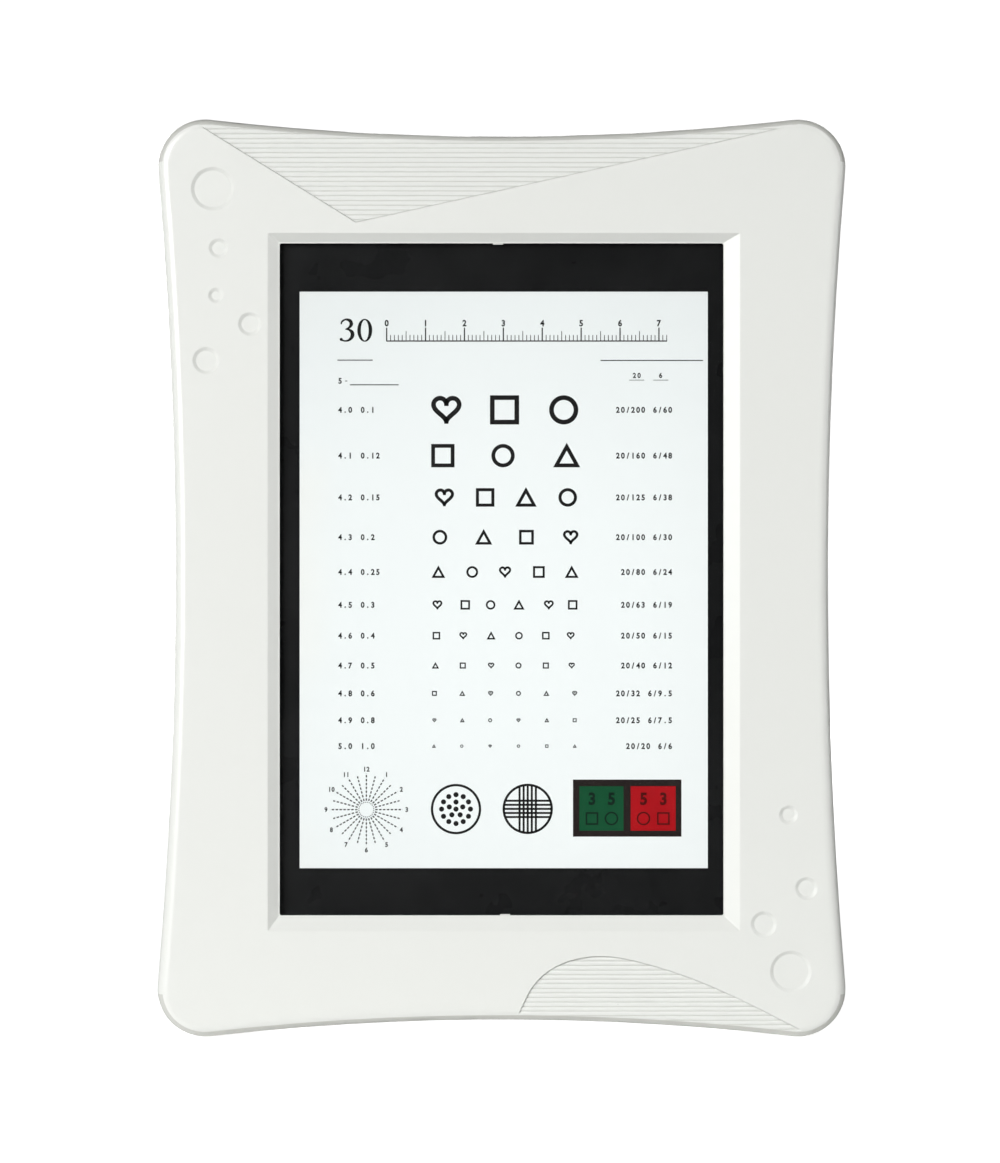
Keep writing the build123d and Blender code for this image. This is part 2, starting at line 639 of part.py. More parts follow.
    # wire notches in the bay box
    with BuildSketch(at(6.5)):
        with Locations(*[(BAY_W / 2 + BAY_WALL / 2, z) for z in (CELL_Z[0], CELL_Z[-1])]):
            Rectangle(4.0, 2.2)
    extrude(amount=2.2, mode=Mode.SUBTRACT)
    # cradles that separate the cells
    for k in (-1, 0, 1):
        with BuildSketch(at(BAY_FLOOR)):
            with Locations((0, BAY_Z + k * CELL_PITCH)):
                Rectangle(30.0, 0.7)
        extrude(amount=-2.0)
finish(rear_cover.part, "rear_cover")

screw_set(
    "case_screws", CASE_SCREWS, CASE_SEAT_Y, side=-1,
    head=(2.75, 2.1, 0.9), shank=(1.45, 12.0), cross=(3.2, 0.7, 1.2),
)

with BuildPart() as rubber_feet:
    with BuildSketch(at(Y_BACK - FOOT_SEAT_DEPTH)):
        with Locations(*FEET):
            Circle(FOOT_R)
    extrude(amount=-(Y_FEET - Y_BACK + FOOT_SEAT_DEPTH))
    fillet(rubber_feet.faces().filter_by(Axis.Y).group_by(Axis.Y)[-1].edges(), 0.5)
finish(rubber_feet.part, "rubber_feet")

# ------------------------------------------------------------------ stand
LEG_RIM_W, LEG_RIM_H = 1.4, 2.6
CROSS_RIB_COUNT, CROSS_RIB_PITCH, CROSS_RIB_START = 5, 18, 22
CROSS_RIB_L, CROSS_RIB_SHORTEN = 40.0, 2.4  # top rib length, and the loss per rib below
GRIP_COUNT, GRIP_L, GRIP_W = 5, 20.0, 1.1

with BuildPart() as stand_leg:
    with BuildSketch(at(LEG_Y1)) as leg_plate:
        with BuildLine():
            Polyline(
                *tapered_points(LEG_W_TOP / 2, LEG_W_FOOT / 2, HINGE_Z, SHOULDER_Z, LEG_END_Z),
                close=True,
            )
        make_face()
        fillet(leg_plate.vertices().group_by(Axis.Y)[0], 6.0)
    extrude(amount=LEG_Y1 - LEG_Y0)
    # hinge barrel
    with BuildSketch(Plane.YZ.offset(-LEG_W_TOP / 2)):
        with Locations(HINGE):
            Circle(BARREL_R)
    extrude(amount=LEG_W_TOP)
    # rim and cross ribs on the inner face of the plate
    with BuildSketch(at(LEG_Y0)):
        with BuildLine():
            Polyline(
                *tapered_points(
                    LEG_W_TOP / 2 - 2.0, LEG_W_FOOT / 2 - 2.6,
                    HINGE_Z - 2.0, SHOULDER_Z, LEG_END_Z + 9.0,
                ),
                close=True,
            )
        make_face()
        offset(amount=-LEG_RIM_W, mode=Mode.SUBTRACT)
    extrude(amount=LEG_RIM_H)
    with BuildSketch(at(LEG_Y0)):
        for k in range(CROSS_RIB_COUNT):
            with Locations((0, HINGE_Z - CROSS_RIB_START - k * CROSS_RIB_PITCH)):
                Rectangle(CROSS_RIB_L - k * CROSS_RIB_SHORTEN, 1.3)
    extrude(amount=2.0)
    # shallow decorative grip grooves on the outer face near the foot
    with BuildSketch(at(LEG_Y1)):
        for k in range(GRIP_COUNT):
            with Locations((0, LEG_END_Z + 8.0 + k * 2.4)):
                SlotOverall(GRIP_L, GRIP_W)
    extrude(amount=0.5, mode=Mode.SUBTRACT)
    # slot for the rubber foot
    with BuildSketch(at(LEG_Y1 + 1)):
        with Locations((0, LEG_END_Z)):
            Rectangle(20.0, 3.0)
    extrude(amount=12.0, mode=Mode.SUBTRACT)
    # pin bore
    with BuildSketch(Plane.YZ.offset(-LEG_W_TOP / 2 - 1)):
        with Locations(HINGE):
            Circle(PIN_R + BARREL_CLEAR)
    extrude(amount=LEG_W_TOP + 2, mode=Mode.SUBTRACT)
finish(stand_leg.part, "stand_leg")

with BuildPart() as stand_foot:
    with BuildSketch(at(LEG_Y1 - 0.1)):
        with Locations((0, LEG_END_Z + 0.7)):
            Rectangle(19.8, 1.5)
    extrude(amount=LEG_Y1 - LEG_Y0 - 0.2)
    fillet(stand_foot.edges().filter_by(Axis.X).group_by(Axis.Z)[0], 0.5)
finish(stand_foot.part, "stand_foot")

with BuildPart() as hinge_pin:
    with BuildSketch(Plane.YZ.offset(-LEG_W_TOP / 2 - PIN_OVERHANG)):
        with Locations(HINGE):
            Circle(PIN_R)
    extrude(amount=LEG_W_TOP + 2 * PIN_OVERHANG)
    chamfer(hinge_pin.faces().filter_by(Axis.X).edges(), 0.3)
finish(hinge_pin.part, "hinge_pin")

# ------------------------------------------------------------------ battery bay
LATCH_W = 12.0
# Section of the latch: y from the back of its root, z from the upper edge of the door
LATCH_SECTION = [
    (0, -2.0), (-3.6, -2.0), (-3.6, -0.9), (-1.9, 0.1), (-1.3, 0.1),
    (-1.3, -0.5), (-2.6, -1.0), (-2.6, -1.3), (0, -1.3),
]
LATCH_Y = Y_BACK - DOOR_T + 0.1

with BuildPart() as battery_door:
    with BuildSketch(at(Y_BACK)):
        with Locations((0, BAY_Z)):
            RectangleRounded(DOOR_W, DOOR_H, 2.0)
    extrude(amount=DOOR_T - 0.05)
    # locating tabs at the lower edge
    with BuildSketch(at(Y_BACK - DOOR_T + 0.05)):
        with Locations((-TAB_X, DOOR_Z0 + 1.4), (TAB_X, DOOR_Z0 + 1.4)):
            Rectangle(7.6, 2.4)
    extrude(amount=2.6)
    # spring latch: a folded tongue inside the upper edge, drawn pressed in
    with BuildSketch(Plane.YZ.offset(-LATCH_W / 2)):
        with BuildLine():
            Polyline(
                *[(LATCH_Y + y, Z_MID + DOOR_Z1 + z) for y, z in LATCH_SECTION], close=True
            )
        make_face()
    extrude(amount=LATCH_W)
    # raised grip bars on the outside
    with BuildSketch(at(Y_BACK)):
        for k in range(5):
            with Locations((0, DOOR_Z1 - 6.0 - k * 2.2)):
                SlotOverall(16.0, 1.1)
    extrude(amount=0.4)
finish(battery_door.part, "battery_door")

BUTTON_R, BUTTON_H = 1.9, 0.8
CELL_SHIFT = 0.6  # cells sit off centre, away from their positive end
CELL_HALF = CELL_L / 2 - BUTTON_H / 2  # half length of the can without its button
CELL_SIDES = [-1, 1, -1, 1]  # the positive end alternates

for k, (z, side) in enumerate(zip(CELL_Z, CELL_SIDES)):
    with BuildPart() as cell:
        with BuildSketch(Plane.YZ.offset(-side * CELL_SHIFT - CELL_HALF)):
            with Locations((CELL_Y, Z_MID + z)):
                Circle(CELL_R)
        extrude(amount=2 * CELL_HALF)
        fillet(cell.faces().filter_by(Axis.X).edges(), 0.7)
        with BuildSketch(Plane.YZ.offset(-side * CELL_SHIFT + side * CELL_HALF)):
            with Locations((CELL_Y, Z_MID + z)):
                Circle(BUTTON_R)
        extrude(amount=side * BUTTON_H)
    finish(cell.part, f"battery_cell_{k + 1}")

PAIR_H, SINGLE_H = 20.6, 9.6  # plates joining two cells, and plates for one
PLATE_T, PLATE_D = 0.4, 9.6
# side, z, height
PLATES = [
    (-1, BAY_Z - CELL_PITCH, PAIR_H),
    (-1, BAY_Z + CELL_PITCH, PAIR_H),
    (1, BAY_Z, PAIR_H),
    (1, CELL_Z[0], SINGLE_H),
    (1, CELL_Z[-1], SINGLE_H),
]
with BuildPart() as contact_plates:
    for side, z, height in PLATES:
        with BuildSketch(at(BAY_FLOOR + 0.3)):
            with Locations((side * (BAY_W / 2 - 0.3), z)):
                Rectangle(PLATE_T, height)
        extrude(amount=-PLATE_D)
finish(contact_plates.part, "contact_plates")

SPRING_R, SPRING_WIRE_R, SPRING_TURNS = 3.2, 0.25, 3.0
with BuildPart() as contact_springs:
    for z, side in zip(CELL_Z, CELL_SIDES):
        # the negative end lies opposite the positive button
        x_negative = -side * CELL_SHIFT - side * CELL_HALF
        x_wall = -side * (BAY_W / 2 - 0.85)
        length = abs(x_wall - x_negative) - 0.7
        with BuildLine() as coil:
            Helix(
                pitch=length / SPRING_TURNS,
                height=length,
                radius=SPRING_R,
                center=(x_wall, CELL_Y, Z_MID + z),
                direction=(side, 0, 0),
            )
        with BuildSketch(Plane(origin=coil.line @ 0, z_dir=coil.line % 0)):
            Circle(SPRING_WIRE_R)
        sweep(path=coil.line, is_frenet=True)
finish(contact_springs.part, "contact_springs")

# ------------------------------------------------------------------ electronics
with BuildPart() as main_board:
    with BuildSketch(at(PCB_Y1)):
        with Locations(((PCB_X0 + PCB_X1) / 2, (PCB_Z0 + PCB_Z1) / 2)):
            RectangleRounded(PCB_X1 - PCB_X0, PCB_Z1 - PCB_Z0, 1.5)
        with Locations(*BOARD_SCREWS):
            Circle(1.2, mode=Mode.SUBTRACT)
    extrude(amount=PCB_T)
finish(main_board.part, "main_board")

screw_set(
    "board_screws", BOARD_SCREWS, PCB_Y0, side=1,
    head=(1.9, 1.25, 0.45), shank=(0.97, 5.6), cross=(2.0, 0.45, 0.7),
)

Y_MOUNT = PCB_Y1 + 0.05  # components stand just clear of the back of the board

IC_X, IC_Z = 48.0, -60.0
IC_LEAD_X, IC_LEAD_PITCH = 2.4, 1.27
with BuildPart() as driver_ic:
    with BuildSketch(at(PCB_Y1 + 0.15)):
        with Locations((IC_X, IC_Z)):
            Rectangle(3.9, 4.9)
    extrude(amount=-1.5)
    chamfer(driver_ic.faces().sort_by(Axis.Y)[-1].edges(), 0.25)
    for side in (-1, 1):
        for k in range(4):
            with BuildSketch(at(Y_MOUNT)):
                with Locations((IC_X + side * IC_LEAD_X, IC_Z + (k - 1.5) * IC_LEAD_PITCH)):
                    Rectangle(1.3, 0.42)
            extrude(amount=-0.35)
finish(driver_ic.part, "driver_ic")

INDUCTOR = (58.0, -60.0)
INDUCTOR_W, INDUCTOR_CORE_R = 6.0, 2.3
FLANGE_T, CORE_H = 0.8, 2.4
with BuildPart() as boost_inductor:
    with BuildSketch(at(Y_MOUNT)):
        with Locations(INDUCTOR):
            RectangleRounded(INDUCTOR_W, INDUCTOR_W, 1.2)
    extrude(amount=-FLANGE_T)
    with BuildSketch(at(Y_MOUNT + FLANGE_T)):
        with Locations(INDUCTOR):
            Circle(INDUCTOR_CORE_R)
    extrude(amount=-CORE_H)
    with BuildSketch(at(Y_MOUNT + FLANGE_T + CORE_H)):
        with Locations(INDUCTOR):
            RectangleRounded(INDUCTOR_W, INDUCTOR_W, 1.2)
    extrude(amount=-FLANGE_T)
finish(boost_inductor.part, "boost_inductor")

CAPACITOR = (44.0, -72.0)
CAP_BASE_W, CAP_BASE_T = 6.6, 0.9
CAP_R, CAP_H = 3.15, 4.8
with BuildPart() as filter_capacitor:
    with BuildSketch(at(Y_MOUNT)):
        with Locations(CAPACITOR):
            Rectangle(CAP_BASE_W, CAP_BASE_W)
            chamfer(vertices().group_by(Axis.Y)[-1], 1.2)
    extrude(amount=-CAP_BASE_T)
    with BuildSketch(at(Y_MOUNT + CAP_BASE_T)):
        with Locations(CAPACITOR):
            Circle(CAP_R)
    extrude(amount=-CAP_H)
    fillet(filter_capacitor.faces().sort_by(Axis.Y)[-1].edges(), 0.5)
finish(filter_capacitor.part, "filter_capacitor")

# x, z
RESISTORS = [
    (41.0, -52.0), (41.0, -55.0), (53.0, -54.0), (53.0, -51.5),
    (62.0, -52.0), (53.0, -66.0), (56.5, -68.0), (60.0, -68.0),
]
with BuildPart() as board_resistors:
    with BuildSketch(at(Y_MOUNT)):
        with Locations(*RESISTORS):
            Rectangle(2.0, 1.25)
    extrude(amount=-0.55)
finish(board_resistors.part, "board_resistors")

WIRE_HEADERS = [(38.0, -44.0), (38.0, -37.0), (67.0, -44.5)]  # x, z
HEADER_H = 3.6
with BuildPart() as wire_headers:
    for x, z in WIRE_HEADERS:
        with BuildSketch(at(Y_MOUNT)):
            with Locations((x, z)):
                Rectangle(5.0, 6.0)
        extrude(amount=-HEADER_H)
        with BuildSketch(at(Y_MOUNT + HEADER_H)):
            with Locations((x, z + 0.3)):
                Rectangle(4.0, 4.2)
        extrude(amount=2.0, mode=Mode.SUBTRACT)
finish(wire_headers.part, "wire_headers")

X_JACK0, X_JACK1 = 71.0, 82.3  # ends of the jack body
JACK_NOSE_R, JACK_NOSE_L = 2.95, 2.2
JACK_BORE_R, JACK_PIN_R, JACK_BORE_DEPTH = 1.85, 0.65, 10.0
with BuildPart() as dc_jack:
    with BuildSketch(Plane.YZ.offset(X_JACK0)):
        with Locations(JACK):
            Rectangle(6.2, 6.4)
    extrude(amount=X_JACK1 - X_JACK0)
    with BuildSketch(Plane.YZ.offset(X_JACK1)):
        with Locations(JACK):
            Circle(JACK_NOSE_R)
    extrude(amount=JACK_NOSE_L)
    with BuildSketch(Plane.YZ.offset(X_JACK1 + JACK_NOSE_L)):
        with Locations(JACK):
            Circle(JACK_BORE_R)
            Circle(JACK_PIN_R, mode=Mode.SUBTRACT)
    extrude(amount=-JACK_BORE_DEPTH, mode=Mode.SUBTRACT)
finish(dc_jack.part, "dc_jack")

SWITCH_H = 4.0
with BuildPart() as slide_switch:
    with BuildSketch(at(Y_MOUNT)):
        with Locations((SWITCH_X, SWITCH_Z)):
            Rectangle(4.4, 13.0)
    extrude(amount=-SWITCH_H)
    with BuildSketch(at(Y_MOUNT + SWITCH_H)):
        with Locations((SWITCH_X, SWITCH_Z)):
            Rectangle(2.2, 7.4)
    extrude(amount=2.4, mode=Mode.SUBTRACT)
finish(slide_switch.part, "slide_switch")

KNOB_Z = SWITCH_Z - SWITCH_TRAVEL / 2  # rests at the off end
KNOB_W = 4.2
STEM_Y0, STEM_Y1 = PCB_Y1 + 1.8, Y_BACK - 1.0
KNOB_Y0, KNOB_Y1 = PCB_Y1 + 4.6, Y_BACK - 0.3
with BuildPart() as switch_knob:
    with BuildSketch(at(STEM_Y0)):
        with Locations((SWITCH_X, KNOB_Z)):
            Rectangle(2.0, 3.0)
    extrude(amount=-(STEM_Y1 - STEM_Y0))
    with BuildSketch(at(KNOB_Y0)):
        with Locations((SWITCH_X, KNOB_Z)):
            Rectangle(KNOB_W, 5.0)
    extrude(amount=-(KNOB_Y1 - KNOB_Y0))
    # grip ridges
    with BuildSketch(at(KNOB_Y1)):
        for k in (-1.5, -0.5, 0.5, 1.5):
            with Locations((SWITCH_X, KNOB_Z + k * 1.2)):
                Rectangle(KNOB_W, 0.55)
    extrude(amount=-0.55)
finish(switch_knob.part, "switch_knob")


# ------------------------------------------------------------------ wiring
def wire(name, radius, start_dir, points):
    """One insulated lead along a smooth path that ends by plugging forwards."""
    with BuildPart() as lead:
        with BuildLine() as path:
            Spline(
                *[(x, y, Z_MID + z) for x, y, z in points],
                tangents=(start_dir, (0, -1, 0)),
                tangent_scalars=(0.6, 0.8),
            )
        with BuildSketch(Plane(origin=path.line @ 0, z_dir=path.line % 0)):
            Circle(radius)
        sweep(path=path.line)
    finish(lead.part, name)


BATTERY_LEAD_R, LED_LEAD_R = 0.65, 0.6
RIGHTWARDS, BACKWARDS = (1, 0, 0), (0, 1, 0)

# Path points: x, y, z above the case centre
wire("battery_lead_positive", BATTERY_LEAD_R, RIGHTWARDS, [
    (27.1, 5.4, CELL_Z[-1]), (31.5, 5.2, 80.5), (34.4, 4.6, 68.0),
    (34.4, 4.4, 30.0), (33.9, 4.5, 0.0), (33.0, 5.0, -22.0),
    (33.6, 6.6, -32.0), (35.8, 8.0, -36.2), (38.0, 4.6, -37.0),
])
wire("battery_lead_negative", BATTERY_LEAD_R, RIGHTWARDS, [
    (27.1, 5.4, CELL_Z[0]), (30.6, 5.2, 47.8), (32.3, 4.7, 38.0),
    (32.4, 4.5, 20.0), (32.0, 4.6, 0.0), (31.2, 4.9, -24.0),
    (31.8, 6.4, -37.0), (34.8, 8.1, -43.0), (38.0, 4.6, -44.0),
])
wire("led_lead_right", LED_LEAD_R, BACKWARDS, [
    (WIRE_EXIT_X, -3.9, WIRE_EXIT_Z), (57.9, -1.6, -76.8), (66.0, -1.3, -85.6),
    (75.4, -0.9, -86.6), (79.8, 0.4, -79.0), (79.9, 0.7, -64.0), (79.5, 1.6, -53.0),
    (78.2, 4.8, -47.0), (73.6, 8.0, -44.4), (69.6, 7.9, -44.2), (68.1, 4.8, -44.2),
])
wire("led_lead_left", LED_LEAD_R, BACKWARDS, [
    (-WIRE_EXIT_X, -3.9, WIRE_EXIT_Z), (-56.4, -1.6, -77.0), (-44.0, -0.6, -90.5),
    (0.0, -0.4, -95.0), (44.0, -0.6, -92.5), (72.0, -0.8, -90.0), (81.0, 0.3, -83.0),
    (81.6, 0.7, -64.0), (81.2, 1.8, -51.0), (79.8, 5.2, -42.6), (73.4, 8.1, -41.2),
    (67.6, 8.0, -42.9), (65.8, 4.8, -44.0),
])
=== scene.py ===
"""Looks, chart print and studio for a back-lit near-vision chart in a white plastic case.

The case stands upright on the floor (z = 0) and is centred on x = 0. Its window faces -y,
towards the camera, with +x to the right. The chart print lies on the front of the lit film.
"""

import json
import math
from functools import cached_property, lru_cache

import bmesh
import bpy
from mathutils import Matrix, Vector

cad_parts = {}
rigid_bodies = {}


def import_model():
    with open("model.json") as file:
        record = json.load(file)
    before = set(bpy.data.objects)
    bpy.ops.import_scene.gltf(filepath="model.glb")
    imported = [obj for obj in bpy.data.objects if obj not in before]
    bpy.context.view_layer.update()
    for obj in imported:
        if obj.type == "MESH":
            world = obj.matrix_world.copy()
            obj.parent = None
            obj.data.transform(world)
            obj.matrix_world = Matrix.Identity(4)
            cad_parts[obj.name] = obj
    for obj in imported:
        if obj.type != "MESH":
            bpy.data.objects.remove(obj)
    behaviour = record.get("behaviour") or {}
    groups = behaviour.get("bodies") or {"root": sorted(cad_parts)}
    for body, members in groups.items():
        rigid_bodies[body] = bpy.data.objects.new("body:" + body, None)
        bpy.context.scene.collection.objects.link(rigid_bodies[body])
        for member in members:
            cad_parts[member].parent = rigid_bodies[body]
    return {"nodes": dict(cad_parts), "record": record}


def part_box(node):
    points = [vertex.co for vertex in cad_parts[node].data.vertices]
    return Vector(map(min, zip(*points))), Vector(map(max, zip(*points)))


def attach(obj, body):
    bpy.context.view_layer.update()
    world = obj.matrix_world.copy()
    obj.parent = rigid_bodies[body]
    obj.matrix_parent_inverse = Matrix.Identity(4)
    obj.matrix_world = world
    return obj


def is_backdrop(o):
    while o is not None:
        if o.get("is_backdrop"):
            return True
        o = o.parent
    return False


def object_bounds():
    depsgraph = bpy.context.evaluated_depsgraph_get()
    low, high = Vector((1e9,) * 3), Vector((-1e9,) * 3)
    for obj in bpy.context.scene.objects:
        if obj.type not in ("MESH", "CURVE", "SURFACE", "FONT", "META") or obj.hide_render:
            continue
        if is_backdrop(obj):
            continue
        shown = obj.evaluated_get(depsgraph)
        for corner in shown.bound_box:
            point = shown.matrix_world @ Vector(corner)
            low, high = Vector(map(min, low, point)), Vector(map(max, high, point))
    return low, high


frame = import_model()
CAD_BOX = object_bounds()
PIECES = frame["nodes"]

MM = 0.001

film_lo, film_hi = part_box("chart_film")
bezel_lo, bezel_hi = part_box("front_bezel")
ZC = (bezel_lo.z + bezel_hi.z) / 2  # height of the case centre
FRONT_Y = bezel_lo.y  # foremost plane of the case
PRINT_Y = (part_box("front_lens")[1].y + film_lo.y) / 2  # between lens and film
MARKS_LIFT = 0.000008  # the panel marks lie this far in front of their coloured fields


def add_object(name, data):
    obj = bpy.data.objects.new(name, data)
    bpy.context.scene.collection.objects.link(obj)
    return obj


# ------------------------------------------------------------------ node helpers
class Shading:
    """The node tree of a material or world, with short calls for the nodes used here."""

    def __init__(self, owner, output="ShaderNodeOutputMaterial"):
        owner.use_nodes = True
        self.owner = owner
        self.tree = owner.node_tree
        self.tree.nodes.clear()
        self.output = self.node(output)

    def node(self, kind, inputs=None, **props):
        node = self.tree.nodes.new(kind)
        for name, value in props.items():
            setattr(node, name, value)
        for key, value in (inputs or {}).items():
            self.put(node, key, value)
        return node

    def put(self, node, key, value):
        """Link a socket, or set a value; three-part colours get an alpha of 1."""
        socket = node.inputs[key]
        if isinstance(value, bpy.types.NodeSocket):
            self.tree.links.new(value, socket)
        elif isinstance(value, tuple) and len(value) == 3 and socket.type == "RGBA":
            socket.default_value = (*value, 1.0)
        else:
            socket.default_value = value

    def shader(self, kind, **inputs):
        """First output of a node; underscores in input names stand for spaces."""
        inputs = {name.replace("_", " "): value for name, value in inputs.items()}
        return self.node("ShaderNode" + kind, inputs).outputs[0]

    @cached_property
    def position(self):
        return self.node("ShaderNodeTexCoord").outputs["Object"]

    def xyz(self, vector=None):
        return self.node("ShaderNodeSeparateXYZ", {0: vector or self.position}).outputs

    def ramp(self, value, span, to, smooth=False):
        """Carry value from the range span to the range to, clamped."""
        inputs = {"Value": value, "From Min": span[0], "From Max": span[1],
                  "To Min": to[0], "To Max": to[1]}
        kind = "SMOOTHSTEP" if smooth else "LINEAR"
        return self.node("ShaderNodeMapRange", inputs, clamp=True,
                         interpolation_type=kind).outputs[0]

    def noise(self, scale, detail=2.0, rough=0.5, vector=None, span=(0.3, 0.7), to=None,
              smooth=False):
        """Noise, raw or (with to) carried from span to the range to."""
        inputs = {"Vector": vector or self.position, "Scale": scale, "Detail": detail,
                  "Roughness": rough}
        value = self.node("ShaderNodeTexNoise", inputs).outputs["Fac"]
        return value if to is None else self.ramp(value, span=span, to=to, smooth=smooth)

    def voronoi(self, scale, output="Distance"):
        inputs = {"Vector": self.position, "Scale": scale}
        return self.node("ShaderNodeTexVoronoi", inputs).outputs[output]

    def specks(self, scale, radius, rarity, strength):
        """Dots of a cell-relative radius in the few cells whose random value beats rarity."""
        dot = self.math("LESS_THAN", self.voronoi(scale), radius)
        pick = self.ramp(self.voronoi(scale, output="Color"), span=(0.0, 1.0), to=(0.0, 1.0))
        return self.times(dot, self.math("GREATER_THAN", pick, rarity), strength)

    def math(self, operation, first, second=0.0):
        inputs = {0: first, 1: second, 2: 0.0}
        return self.node("ShaderNodeMath", inputs, operation=operation).outputs[0]

    def add(self, total, *others):
        for other in others:
            total = self.math("ADD", total, other)
        return total

    def times(self, product, *others):
        for other in others:
            product = self.math("MULTIPLY", product, other)
        return product

    def mix(self, factor, first, second, **props):
        inputs = {0: factor, 6: first, 7: second}
        return self.node("ShaderNodeMix", inputs, data_type="RGBA", **props).outputs[2]

    def dim(self, color, level):
        grey = self.node("ShaderNodeCombineColor", {0: level, 1: level, 2: level}).outputs[0]
        return self.mix(1.0, color, grey, blend_type="MULTIPLY")

    def dim_crevices(self, color, distance, samples, darkest):
        # painted shade: the colour darkens in crevices, where the occlusion node finds nearby
        # surfaces
        shade = self.node("ShaderNodeAmbientOcclusion", {"Distance": distance},
                          samples=samples).outputs["AO"]
        return self.dim(color, self.ramp(shade, span=(0.4, 0.98), to=(darkest, 1.0)))

    def bevel(self, radius, samples=4):
        return self.node("ShaderNodeBevel", {"Radius": radius}, samples=samples).outputs[0]

    def bump(self, height, distance, strength, normal=None):
        inputs = {"Height": height, "Distance": distance, "Strength": strength}
        if normal is not None:
            inputs["Normal"] = normal
        return self.node("ShaderNodeBump", inputs).outputs[0]

    def light_path(self, ray):
        return self.node("ShaderNodeLightPath").outputs[ray]

    def mix_shader(self, factor, first, second):
        return self.node("ShaderNodeMixShader", {0: factor, 1: first, 2: second}).outputs[0]

    def surface(self, shader):
        self.put(self.output, "Surface", shader)

    def principled(self, **inputs):
        self.surface(self.shader("BsdfPrincipled", **inputs))


def new_material(name):
    return Shading(bpy.data.materials.new(name))


def paint(mat, *names):
    for name in names:
        slots = PIECES[name].data.materials
        slots.clear()
        slots.append(mat.owner)


# ------------------------------------------------------------------ white ABS
# Edges of the two ribbed panels, from the case centre
UPPER_RIBS_FROM = 0.0905
LOWER_RIBS_FROM = -0.0955
# The round dimples lie further out than the first and nearer the middle than the second
DIMPLE_CLEAR_X = 0.066
DIMPLE_CLEAR_Z = 0.1066


def gloss_abs():
    """Polished moulded white shell: slight orange peel, faint drift, painted shade in the
    grooves.
    """
    mat = new_material("gloss_abs")
    drift = mat.noise(scale=5.0, detail=1.0, rough=0.4, to=(0.0, 1.0), smooth=True)
    base = mat.mix(drift, (0.809, 0.821, 0.786), (0.812, 0.824, 0.789))
    x, y, z = mat.xyz()

    def by_depth(start, end, to):
        """Ramp over a range of depths behind the front plane."""
        return mat.ramp(y, span=(FRONT_Y + start, FRONT_Y + end), to=to)

    # mask of the ribbed panels, away from the round dimples
    up = mat.math("SUBTRACT", z, ZC)
    ends = mat.math("MAXIMUM", mat.math("GREATER_THAN", up, UPPER_RIBS_FROM),
                    mat.math("LESS_THAN", up, LOWER_RIBS_FROM))
    clear = mat.math(
        "MAXIMUM",
        mat.math("LESS_THAN", mat.math("ABSOLUTE", x), DIMPLE_CLEAR_X),
        mat.math("GREATER_THAN", mat.math("ABSOLUTE", up), DIMPLE_CLEAR_Z))
    ribs = mat.times(ends, clear)
    recessed = mat.times(ribs, by_depth(start=0.00005, end=0.00020, to=(0.0, 1.0)))

    # recessed ribs stay crisp; other edges are softened, and the unclamped factor
    # exaggerates the rims of shallow relief so that they catch the light
    shallow = by_depth(start=0.0006, end=0.0009, to=(1.0, 0.0))
    rims = mat.times(shallow, mat.math("SUBTRACT", 1.0, recessed),
                     mat.ramp(ribs, span=(0.0, 1.0), to=(1.6, 2.6)))
    radius = mat.ramp(ribs, span=(0.0, 1.0), to=(0.00020, 0.00045))
    normals = {0: mat.math("SUBTRACT", recessed, rims),
               4: mat.bevel(radius, samples=6),
               5: mat.node("ShaderNodeNewGeometry").outputs["Normal"]}
    soft = mat.node("ShaderNodeMix", normals, data_type="VECTOR", clamp_factor=False).outputs[1]

    # painted light on the ribs: the recessed ribs are painted lighter, and their deepest parts
    # are painted darker as shade
    deep = by_depth(start=0.00037, end=0.00047, to=(0.0, 1.0))
    groove_shade_strength = 0.42
    base = mat.mix(recessed, base, (0.838, 0.850, 0.818))
    # painted shade in the bottoms of the rib grooves
    base = mat.mix(mat.times(ribs, deep, groove_shade_strength), base, (0.335, 0.33, 0.285))
    dust = mat.specks(scale=95.0, radius=0.018, rarity=0.80, strength=0.35)
    base = mat.mix(dust, base, (0.35, 0.34, 0.30))
    wave = mat.bump(mat.noise(scale=26.0, detail=1.0), distance=0.00012, strength=0.12,
                    normal=soft)
    peel = mat.bump(mat.noise(scale=820.0), distance=0.000012, strength=0.35, normal=wave)
    mat.principled(
        Base_Color=base,
        Roughness=mat.noise(scale=300.0, detail=3.0, rough=0.6, to=(0.295, 0.325)),
        IOR=1.53, Normal=peel, Coat_Weight=0.25, Coat_Roughness=0.07, Coat_Normal=wave)
    return mat


def textured_abs(name, tint, grain_scale):
    """Spark-textured moulding: fine even grain, painted shade in its crevices, slightly dirty
    in patches.
    """
    mat = new_material(name)
    drift = mat.noise(scale=11.0, detail=3.0, rough=0.55, span=(0.35, 0.65), to=(0.0, 1.0))
    base = mat.mix(drift, tint, tuple(min(1.0, part * 1.03) for part in tint))
    # painted shade in the crevices
    base = mat.dim_crevices(base, distance=0.0016, samples=3, darkest=0.72)
    dirt = mat.noise(scale=70.0, detail=5.0, rough=0.65, span=(0.58, 0.8), to=(0.0, 0.12))
    base = mat.mix(dirt, base, (0.62, 0.60, 0.54))
    grain = mat.bump(mat.noise(scale=grain_scale, detail=3.0, rough=0.6), distance=0.00004,
                     strength=0.55, normal=mat.bevel(radius=0.0003))
    mat.principled(Base_Color=base,
                   Roughness=mat.noise(scale=42.0, detail=4.0, rough=0.6, to=(0.47, 0.52)),
                   IOR=1.53, Normal=grain)
    return mat


